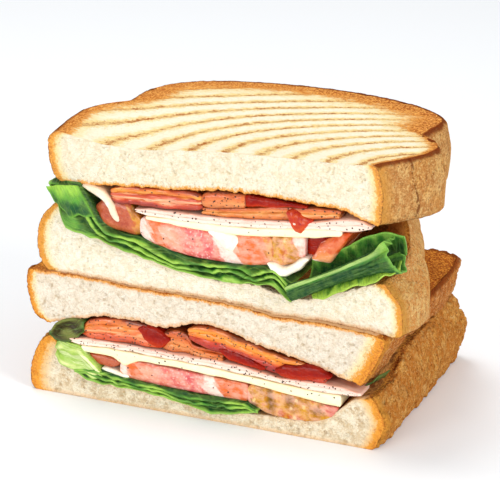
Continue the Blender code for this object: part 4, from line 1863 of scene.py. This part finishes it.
# the pale rows at 0.34 and 0.44 are a painted highlight along the rasher; the golden rows higher up are its
# fat
BACON = Finish(
    "bacon",
    band=((0, 112, 28, 12), (0.12, 160, 36, 18), (0.24, 200, 70, 30), (0.34, 240, 160, 106),
          (0.44, 250, 200, 156), (0.52, 218, 92, 38), (0.64, 180, 54, 20), (0.76, 240, 160, 54),
          (0.9, 226, 126, 34), (1, 120, 46, 16)), blots=(206, 74, 34), specks=(96, 30, 12), blot_size=2.8,
    blot_amount=0.5, speck_size=0.55, speck_amount=0.55, stretch=4.0, roughness=0.24, gloss=0.5, waver=0.3,
    relief=0.45, char=0.9,
)
# its pale row at 0.44 is a painted highlight
ORANGE_BACON = replace(
    BACON, name="orange bacon",
    band=((0, 150, 56, 22), (0.14, 208, 84, 34), (0.32, 226, 106, 46), (0.44, 240, 170, 112),
          (0.52, 230, 112, 48), (0.74, 236, 142, 60), (0.92, 204, 100, 42), (1, 130, 56, 20)),
)
GOLDEN_BACON = Finish(
    "golden bacon",
    band=((0, 130, 22, 12), (0.25, 176, 30, 16), (0.42, 200, 60, 20), (0.55, 236, 130, 26),
          (0.8, 240, 150, 40), (0.93, 220, 120, 36), (1, 140, 66, 22)), blots=(214, 84, 28),
    specks=(104, 30, 12), blot_size=3.2, speck_size=0.55, speck_amount=0.45, stretch=4.0, roughness=0.24,
    gloss=0.5, relief=0.4, char=0.6,
)
SEARED_BACON = Finish(
    "seared bacon",
    band=((0, 186, 100, 48), (0.3, 230, 150, 84), (0.6, 224, 118, 48), (0.85, 202, 82, 30), (1, 150, 60, 24)),
    blots=(212, 106, 48), specks=(110, 44, 18), blot_size=2.2, blot_amount=0.6, speck_size=0.55,
    speck_amount=0.65, stretch=2.5, roughness=0.3, gloss=0.35, waver=0.3, relief=0.5, char=0.8,
)
TAN_BACON = Finish(
    "tan bacon",
    band=((0, 140, 60, 22), (0.2, 212, 118, 46), (0.5, 236, 164, 88), (0.75, 212, 104, 36), (1, 160, 60, 20)),
    blots=(212, 104, 44), specks=(120, 50, 20), blot_size=2.4, blot_amount=0.5, speck_size=0.55,
    speck_amount=0.5, stretch=3.0, roughness=0.3, gloss=0.3, waver=0.3, relief=0.5, char=0.7,
)
KETCHUP = Finish(
    "tomato sauce", band=((0, 200, 56, 12), (0.4, 146, 14, 4), (1, 104, 4, 2)), blots=(176, 40, 10),
    specks=(84, 2, 4), blot_size=2.4, blot_amount=0.5, speck_amount=0.3, roughness=0.12, gloss=0.1,
    relief=0.45, stretch=2.0, specular=0.1,
)
DRIP = Finish(
    "thin tomato sauce", band=((0, 208, 74, 22), (0.5, 180, 28, 8), (1, 150, 14, 6)), blots=(214, 86, 28),
    specks=(120, 10, 8), blot_size=2.0, blot_amount=0.6, roughness=0.12, gloss=0.3, specular=0.15,
)
MAYONNAISE = Finish(
    "mayonnaise", band=((0, 248, 240, 214), (0.5, 252, 247, 232), (1, 250, 242, 222)), blots=(240, 226, 190),
    specks=(226, 196, 150), blot_size=2.0, blot_amount=0.5, roughness=0.24, gloss=0.4, relief=0.25, glow=0.1,
)
TOMATO = TomatoFinish(
    "tomato", band=((0, 214, 84, 62), (0.3, 238, 154, 122), (0.7, 242, 168, 138), (1, 232, 124, 96)),
    blots=(250, 196, 176), specks=(206, 76, 66), blot_size=1.8, blot_amount=0.5, speck_size=0.7,
    speck_amount=0.35, stretch=1.6, roughness=0.24, gloss=0.12, specular=0.15, waver=0.25, relief=0.45,
    glow=0.1, char=0.4, charred=(206, 60, 34),
)
RIPE_TOMATO = TomatoFinish(
    "ripe tomato", band=((0, 240, 172, 122), (0.4, 226, 134, 62), (0.75, 206, 74, 26), (1, 190, 38, 12)),
    blots=(236, 148, 92), specks=(168, 36, 20), blot_size=2.4, speck_amount=0.3, roughness=0.22, gloss=0.2,
    relief=0.35, skin=(208, 76, 20),
)
END_TOMATO = TomatoFinish(
    "brown tomato", band=((0, 208, 116, 66), (0.3, 172, 62, 30), (0.7, 188, 84, 46), (1, 140, 38, 20)),
    blots=(212, 120, 76), specks=(96, 28, 18), blot_size=2.6, blot_amount=0.5, speck_amount=0.4,
    roughness=0.22, gloss=0.3, relief=0.4, skin=(172, 64, 34), pith=(214, 132, 92),
)
SEEDY_TOMATO = replace(TOMATO, name="seedy tomato", skin=(190, 48, 20), gloss=0.1, specular=0.15)
LEAF = LeafFinish("lettuce")
DARK_LEAF = LeafFinish(
    "dark lettuce", deep=(56, 48, 22), green=(84, 84, 34), light=(114, 118, 52), margin=(70, 108, 44),
)
BRIGHT_LEAF = LeafFinish(
    "bright lettuce", deep=(24, 84, 36), green=(80, 130, 36), light=(156, 192, 62), margin=(172, 206, 78),
)
TIP_LEAF = LeafFinish(
    "leaf tip", deep=(16, 74, 36), green=(84, 152, 44), light=(152, 200, 64), margin=(104, 164, 52),
    streaks=0.35,
)
ROLLED_LEAF = LeafFinish(
    "rolled lettuce", deep=(18, 68, 28), green=(54, 120, 40), light=(150, 196, 84), margin=(120, 176, 68),
    vein=(188, 218, 126), streaks=0.15,
)
PALE_LEAF = LeafFinish(
    "pale lettuce", deep=(156, 192, 72), green=(216, 228, 132), light=(242, 244, 192), margin=(150, 190, 60),
    vein=(236, 242, 190),
)
MEATY = {"lump_size": 2.4, "lump": 0.25, "grain_size": 0.8, "grain": 0.14, "stretch": 2.5}
DRIPPING = {"lump_size": 2.2, "lump": 0.35, "grain": 0.02}
SLICED = {"lump": 0.12, "grain": 0.03}
FOLDED = {"lump": 0.2, "grain": 0.06}
PEPPERING = {
    "where": "sprinkle", "per_square_centimetre": 70.0, "smallest": 0.12, "largest": 0.5, "long": 1.4,
    "seed": 3,
}


def lower_layers() -> list[Layer]:
    """The lower half's fillings, apart from its leaves.

    Returns:
        The strips.
    """
    low = Half.LOWER
    return [
        Layer("lower_tomato_end", low,
              ((22.2, 14, 16.3), (26, 12.4, 16.6), (30, 12.2, 16.4), (34, 13.4, 15.9)), END_TOMATO, 40.0, 0.4,
              bulge=1.2, masks={"skin": ((0, 0.5), (1, 0.5))}),
        Layer("lower_tomato_left", low,
              ((34, 10, 15.4), (40, 9.5, 16.2), (49, 9.1, 16), (63, 8.9, 15.6), (72, 8.8, 15.3),
               (80.4, 8.9, 15.1)), TOMATO, ((34, 14), (40, 29), (50, 38), (60, 40), (72, 36), (79.6, 27)),
              -0.2, bulge=0.7, sprinkle=0.06, seed=3.0,
              masks={"skin": ((36, 0.2), (38.5, 0.9), (41, 0.7), (43, 0.1), (69, 0.1), (71, 0.9), (75, 0.8),
                              (80, 0.5)),
                     "pith": ((33, 0.3), (36, 0.7), (38, 0), (58, 0.1), (65.5, 0.6), (68.5, 0.75), (71, 0.2),
                              (78, 0.35)), "core": ((44, 0), (50, 0.6), (60, 1), (66, 0.6), (70, 0)),
                     "gel": ((33, 0.5), (36, 0))}),
        Layer("lower_tomato_right", low,
              ((80, 8.5, 15.1), (88, 6, 14.7), (96, 5.4, 14), (103, 6, 13.2), (109.6, 9, 12.6),
               (111.6, 11.4, 12.8)), SEEDY_TOMATO, ((80, 40), (90, 44), (100, 38), (109, 20)), -0.2, seed=5.0,
              masks={"gel": ((80, 0.3), (82, 1), (104, 1), (107, 0.6), (110, 0.2)),
                     "pith": ((88, 0), (91, 0.35), (96, 0.3), (98, 0)),
                     "skin": ((106, 0), (109, 0.6), (112, 1))}),
        Layer("lower_cheese", low,
              ((20, 16.9, 19), (31, 16.7, 19.5), (34, 15.4, 19.5), (36, 14.4, 19.4), (38.5, 15.6, 19.4),
               (42, 16.9, 19.3), (50, 16.9, 19.3), (67, 16.3, 19), (78, 15.9, 18.4), (88, 15, 17.8),
               (100, 13.9, 17.2), (112.6, 13.1, 17.1)), CHEESE, LOWER_REACH, -0.5, bulge=0.35, firmness=5.0,
              end_round=0.6, sprinkle=0.12, sway=0.25, seed=1.0, relief=SLICED),
        Layer("lower_ham", low,
              ((15.2, 20, 21.2), (20, 19.3, 21.8), (31, 19.8, 22.2), (52, 19.6, 21.9), (70, 19.1, 22),
               (84, 18.6, 20.9), (93, 17.9, 20), (105, 17.4, 20.4), (113, 17.5, 20.3), (119.6, 18.1, 19.6)),
              HAM, LOWER_REACH, -0.9, lobes=((0, 0.55, 0.2), (0.5, 1, 0)), bulge=0.4, end_round=1.0,
              sprinkle=1.0, sway=0.4, seed=2.0, relief=FOLDED),
        Rasher("lower_bacon_left", low,
               ((20, 22.4, 26.2), (23, 21.9, 28.4), (28, 22, 29.8), (36, 22.4, 30.6), (43, 22.3, 30.3),
                (49.6, 22.2, 28.4)), ORANGE_BACON, 54.0, -0.6, sprinkle=0.6, seed=4.0),
        Rasher("lower_bacon_middle", low,
               ((49.2, 22.1, 28.3), (55, 22, 29.6), (58.6, 21.9, 28.6), (60.6, 21.8, 25.9),
                (71.4, 21.6, 24.8)), SEARED_BACON, 50.0, 0.0, sprinkle=1.0, seed=6.0, bulge=0.5,
               end_round=1.5),
        Rasher("lower_bacon_right", low,
               ((59.2, 27, 31.8), (62, 26.3, 32.8), (67, 25.2, 33), (76, 23.4, 31.4), (88, 20.9, 28.2),
                (93, 20.3, 27.2), (98, 19.9, 26.5), (107.4, 20.3, 24.2)), GOLDEN_BACON,
               ((60, 52), (90, 52), (107, 44)), -0.9, lobes=((0, 0.44, 0.6), (0.36, 0.74, 0.3), (0.66, 1, 0)),
               sprinkle=0.5, seed=7.0),
        Sauce("lower_sauce_middle", low,
              ((40.8, 27.2, 29.4), (43.2, 24.8, 30.2), (46, 23, 30), (48.4, 22.6, 29.2), (50.4, 23.4, 28.4),
               (52.6, 25.2, 27.4)), KETCHUP, 6.0, -0.8, "lower_bacon_left", bulge=1.0, end_round=2.5,
              seed=1.0),
        Sauce("lower_sauce_right", low,
              ((90, 21.6, 23.4), (94, 20.4, 25), (98, 20.2, 25.4), (101.6, 20.9, 26.2), (105, 21.8, 25.8),
               (109.4, 22.4, 24.2)), KETCHUP, 8.0, -1.7, "lower_bacon_right", bulge=0.7, seed=2.0),
        Sauce("lower_sauce_left", low,
              ((70, 24.8, 26.6), (74, 22.8, 26.4), (80, 21.8, 25.2), (86.4, 21.2, 22.8)), KETCHUP, 8.0, -0.7,
              "lower_bacon_right", bulge=0.6, seed=4.0),
        Sauce("lower_mayonnaise", low, ((27.4, 11, 12.6), (32, 10.2, 12.1), (37.4, 9.8, 11.2)), MAYONNAISE,
              12.0, -0.6, "lower_tomato_end", bulge=0.7, end_height=0.2, seed=3.0),
    ]


def upper_layers() -> list[Layer]:
    """The upper half's fillings, apart from its leaves.

    Returns:
        The strips.
    """
    up = Half.UPPER
    return [
        Layer("upper_tomato_end", up,
              ((26, 66, 69.8), (29.5, 62.2, 71.4), (33, 61.2, 71.8), (38, 60.6, 71), (42.4, 60.2, 66.6)),
              END_TOMATO, 34.0, -0.4, bulge=1.2, end_round=2.5,
              masks={"skin": ((30, 0.4), (38, 0.5), (41, 0.1)), "gel": ((36, 0), (40, 0.6))}, seed=1.0),
        Layer("upper_tomato_left", up,
              ((41.6, 60, 67), (47, 58.2, 66.6), (50, 57.6, 66.2), (56, 56.3, 65.8), (64, 55.7, 65.4),
               (76, 55.6, 65.6), (88, 56.8, 66.6)), TOMATO,
              ((42.6, 12), (48, 27), (58, 39), (68, 43), (80, 38), (87.6, 28)), -0.3, bulge=0.8,
              sprinkle=0.04, seed=2.0, end_round=2.0,
              masks={"skin": ((45.5, 0), (47, 0.95), (49, 0.9), (51, 0.1), (75.5, 0), (76.4, 0.9), (79, 0.8),
                              (83, 0.6), (88, 0.4)),
                     "pith": ((40, 0.4), (43.5, 0.9), (45.5, 0.2), (60, 0.1), (67, 0.25), (71, 0.7),
                              (74.5, 0.75), (76, 0.1), (80, 0.3), (83, 0.45), (88, 0.2)),
                     "core": ((54, 0), (58, 0.7), (66, 1), (72, 0.5), (75, 0)),
                     "gel": ((40, 0.6), (42, 0), (83, 0), (87, 0.75))}),
        Layer("upper_tomato_right", up, ((87.4, 56.8, 66.8), (94, 58.2, 67.4), (98.8, 61, 68)), TOMATO,
              ((87, 40), (98, 43)), -0.1, "upper_tomato_right", bulge=0.8, seed=4.0, end_round=1.0,
              end_height=0.8,
              masks={"gel": ((88, 1), (95, 0.9), (97, 0.3)), "pith": ((94, 0), (97, 0.6), (99, 0.6))}),
        Layer("upper_tomato_gap", up, ((98, 61.2, 68.4), (102, 60.6, 69.2), (105.5, 61, 69.4)), KETCHUP, 30.0,
              2.4, "upper_tomato_right", bulge=0.8, seed=5.0),
        Layer("upper_tomato_wedge", up,
              ((101.4, 60.8, 62.6), (104, 60.6, 66.8), (107, 60.6, 68.9), (109.5, 63.6, 70.2),
               (112, 67.4, 71.4), (114, 70.2, 71.9)), RIPE_TOMATO, ((102, 30), (113.4, 22)), -1.2,
              node="upper_tomato_right", bulge=1.4,
              masks={"skin": ((100, 0), (105, 0.1), (108, 0.6), (113, 0.9)),
                     "pith": ((101, 0.8), (103, 0.3), (104, 0))}, seed=6.0),
        Layer("upper_cheese", up,
              ((44, 66.6, 67.8), (56, 65.9, 68.1), (66, 65.5, 68.3), (78, 65.8, 68.5), (88, 66.9, 69.8),
               (101, 68.3, 71.3), (111.4, 69.9, 72.2)), CHEESE, UPPER_REACH, -0.6, bulge=0.35, firmness=5.0,
              end_round=0.6, sprinkle=0.05, sway=0.25, seed=3.0, relief=SLICED),
        Layer("upper_ham", up,
              ((40.4, 68.6, 70), (46, 67.9, 70.6), (56, 67.9, 70.7), (74, 68.4, 71.2), (88, 69.7, 72.4),
               (101, 71.1, 73.8), (111, 71.8, 75.9), (117, 72.7, 76.3), (121, 73.8, 75.2)), HAM, UPPER_REACH,
              -1.0, lobes=((0, 0.55, 0.25), (0.5, 1, 0)), bulge=0.45, end_round=1.0, sprinkle=0.45, sway=0.4,
              seed=4.0, relief=FOLDED),
        Layer("upper_ham_fold", up,
              ((21.8, 74.6, 75.9), (25, 73, 75.8), (28, 71.4, 75.2), (30.2, 69.4, 74), (31.6, 66.4, 72.2),
               (33, 64.6, 70.2), (34.6, 63.9, 66.8)), PALE_STRIP, 26.0, -1.0, bulge=0.8, relief=DRIPPING,
              seed=5.0),
        Rasher("upper_bacon_left", up,
               ((31.6, 71.2, 75.6), (35, 70.5, 76.6), (40, 70.7, 77), (52, 71.1, 77.6), (60, 71.6, 78),
                (64, 72.2, 77.6)), BACON, UPPER_REACH, -0.7, sprinkle=0.15, seed=8.0),
        Rasher("upper_bacon_middle", up,
               ((63.8, 73.6, 78), (66, 73.4, 78.8), (72, 74.2, 79.4), (79, 75.2, 79.5)), SEARED_BACON, 48.0,
               -1.0, bulge=0.7, end_round=1.2, end_height=0.7, sprinkle=0.4, sway=0.3, seed=9.0, lobes=WHOLE),
        Rasher("upper_bacon_right", up,
               ((63.6, 70.8, 73.4), (70, 71, 74), (79, 71.5, 75.2), (88, 72.4, 76.9), (98, 73.6, 77.9),
                (110.6, 75.6, 78.5)), TAN_BACON, UPPER_REACH, -0.4, lobes=((0, 0.55, 0), (0.45, 1, 0.5)),
               sprinkle=0.5, sway=0.4, seed=10.0, bulge=0.5, end_round=1.5),
        Sauce("upper_sauce", up,
              ((78.2, 75.4, 79.6), (84, 76.4, 79.4), (89, 76.7, 79.2), (94, 77.6, 79), (99.5, 77.8, 78.6)),
              KETCHUP, 10.0, -0.9, "upper_bacon_right", bulge=0.8, end_height=0.3, seed=3.0, end_round=1.5),
        Sauce("upper_drip", up,
              ((92.6, 74.4, 76.8), (94.4, 71.4, 77.2), (95.8, 69.6, 76.9), (97.6, 69.3, 76),
               (99.2, 71.2, 75.2), (101.6, 73.6, 74.8)), DRIP, 6.0, -1.3, "upper_bacon_right", bulge=1.0,
              cell=0.25, seed=4.0),
        Sauce("upper_mayonnaise", up,
              ((86.4, 57, 58.6), (88.6, 54.4, 58.2), (91.4, 53.8, 57.2), (94.6, 55.2, 58.6),
               (97.6, 57.2, 60.9), (100.4, 60.2, 61.8)), MAYONNAISE, 12.0, -1.5, "upper_tomato_left",
              bulge=1.0, end_height=0.2, seed=5.0),
        Sauce("upper_mayonnaise_middle", up,
              ((66, 64.6, 66.4), (70, 61.6, 66.2), (73.6, 59.4, 66), (76.2, 61.6, 65.8)), MAYONNAISE, 6.0,
              -0.8, "upper_tomato_left", bulge=0.7, end_round=2.5, end_height=0.2, seed=6.0),
    ]


def salads() -> list[Salad]:
    """The leaves of both halves.

    Returns:
        The leaves, by node.
    """
    up, low = Half.UPPER, Half.LOWER
    return [
        Salad("upper_lettuce", "upper_lettuce", LEAF, (
            LeafBand(up,
                     lower=((10, 74.4), (11, 72.6), (13, 69.2), (14.6, 63.6), (16.4, 60.4), (20, 59.4),
                            (26, 58.3), (39, 54.8), (53, 51.6), (69, 49.6), (88, 50.6), (95, 46.4)),
                     upper=((10, 75.2), (11, 75.6), (20.6, 75.9), (22, 74.2), (24.4, 70.6), (28, 64.6),
                            (33, 60.8), (42, 59.7), (49, 57.4), (64, 55), (76, 55.6), (88, 56.4), (95, 52)),
                     reach=UPPER_REACH, folds=2.5, fold_depth=2.6, drift=1.0,
                     front=((8, -1.2), (20, -2.2), (60, -1.2), (95, -1.6)), seed=1.0),
        ), seed=1.0),
        Salad("upper_lettuce_tip", "upper_lettuce", TIP_LEAF, (
            LeafFlap(near=((9.6, -2.4, 74), (15, -3.2, 75.4), (21.2, -2.6, 75.7)),
                     far=((13.2, -3.4, 69.4), (19, -4.2, 65.4), (27, -2.8, 66.2)), crest=(1.1, -0.2),
                     belly=0.4, frill=0.5, frill_length=6.0, seed=2.0, counts=(80, 60)),
        ), seed=7.0),
        Salad("upper_lettuce_fold", "upper_lettuce_fold", ROLLED_LEAF, (
            LeafRoll((95.0, -2.8, 49.8), (129.6, -1.2, 67.0), ((0, 2.4), (0.3, 2.1), (0.7, 2.8), (1, 4.2)),
                     (-40.0, 265.0), flare=2.2, seed=3.0),
            LeafFlap(near=((98, 6, 52), (112, 6, 58), (124, 6, 63), (131, 5, 65)),
                     far=((101, 1.2, 61), (112, 0.4, 66.4), (118, 0.6, 70.4), (125, 1.6, 72.8),
                          (131, 2, 72.2)), belly=-1.0, frill=0.15, frill_length=11.0, rumple=0.6,
                     crest=(-0.2, 0.75), seed=4.0),
        ), seed=2.0),
        Salad("upper_lettuce_lobe", "upper_lettuce_fold", BRIGHT_LEAF, (
            LeafFlap(near=((100, 2, 51.4), (110, 2, 56), (120, 2, 60), (130, 3, 63.6)),
                     far=((103, -3.8, 49.6), (108.6, -5.4, 51.6), (115.6, -5.6, 55.4), (122, -5.4, 58),
                          (132, -4.6, 62.6)), belly=0.8, frill=0.5, frill_length=8.0, crest=(-0.3, 1.1),
                     seed=5.0),
        ), seed=8.0),
        Salad("lower_lettuce", "lower_lettuce", LEAF, (
            LeafBand(low,
                     lower=((18, 9.4), (23, 7.3), (34, 6.9), (45, 6.6), (56, 5.3), (63, 4.1), (68, 3.4),
                            (77, 5), (84.4, 6.4)),
                     upper=((18, 10.6), (23, 11.4), (27, 11.4), (34, 10.3), (41, 9.6), (52, 9), (63, 8.5),
                            (79, 9), (84.4, 7.4)), reach=LOWER_REACH, folds=2.5, front=-1.6, seed=6.0),
        ), seed=3.0),
        Salad("lower_lettuce_rib", "lower_lettuce", PALE_LEAF, (
            LeafBand(low, lower=((11, 14.6), (12.4, 12), (15, 10.9), (20, 10.1), (25, 8.4), (28, 8.6)),
                     upper=((11, 18.8), (13, 20), (16, 19), (19, 18.9), (21.4, 16.8), (25, 13.8), (28, 11)),
                     reach=((10, 16), (28, 24)), folds=1.5, fold_depth=1.2, front=-1.4, rib=0.5, seed=7.0,
                     counts=(90, 60)),
        ), seed=4.0),
        Salad("lower_lettuce_tip", "lower_lettuce_tip", DARK_LEAF, (
            LeafBand(low, lower=((8.4, 21), (11, 19.4), (14, 19.6), (18, 20.8), (21.4, 24)),
                     upper=((8.4, 22.2), (11, 25.4), (15, 27.6), (19, 28.4), (21.8, 27.4)), reach=20.0,
                     folds=1.0, fold_depth=1.4, front=-0.6, seed=8.0, counts=(80, 60)),
        ), seed=5.0),
        Salad("lower_lettuce_side", "lower_lettuce_side", DARK_LEAF, (
            LeafFlap(near=((118.8, 5, 19.6), (120.6, 8, 20), (122.8, 12, 20.4)), half=low,
                     far=((121.2, 4.4, 21.2), (123, 7.4, 23), (125, 11, 23.6)), frill=0.3, rumple=0.2,
                     belly=0.5, crest=(0.0, 0.6), seed=9.0, counts=(60, 24)),
        ), seed=6.0),
    ]


def main() -> None:
    """Builds the sandwich from the table up, then the stage."""
    logging.basicConfig(level=logging.INFO, format="%(message)s")
    crumbing, softening, scatter = bread_relief(), soft_relief(), scattering()
    toasting, blotting = Toasting().build(), speckle_group()
    for toast in toasts():
        toast.build(crumbing, toasting)
    fillings = {layer.name: layer.build(softening, blotting) for layer in (*lower_layers(), *upper_layers())}
    for salad in salads():
        salad.build(softening, blotting)
    pepper = GrainFinish("pepper", (30, 20, 14), (88, 52, 28))
    for half in ("lower", "upper"):
        carriers = [piece for name, piece in fillings.items() if name.startswith(half)]
        Seasoning(f"{half}_pepper", pepper, **PEPPERING).build(scatter, carriers, f"{half}_ham")
    Studio().build()


if __name__ == "__main__":
    main()
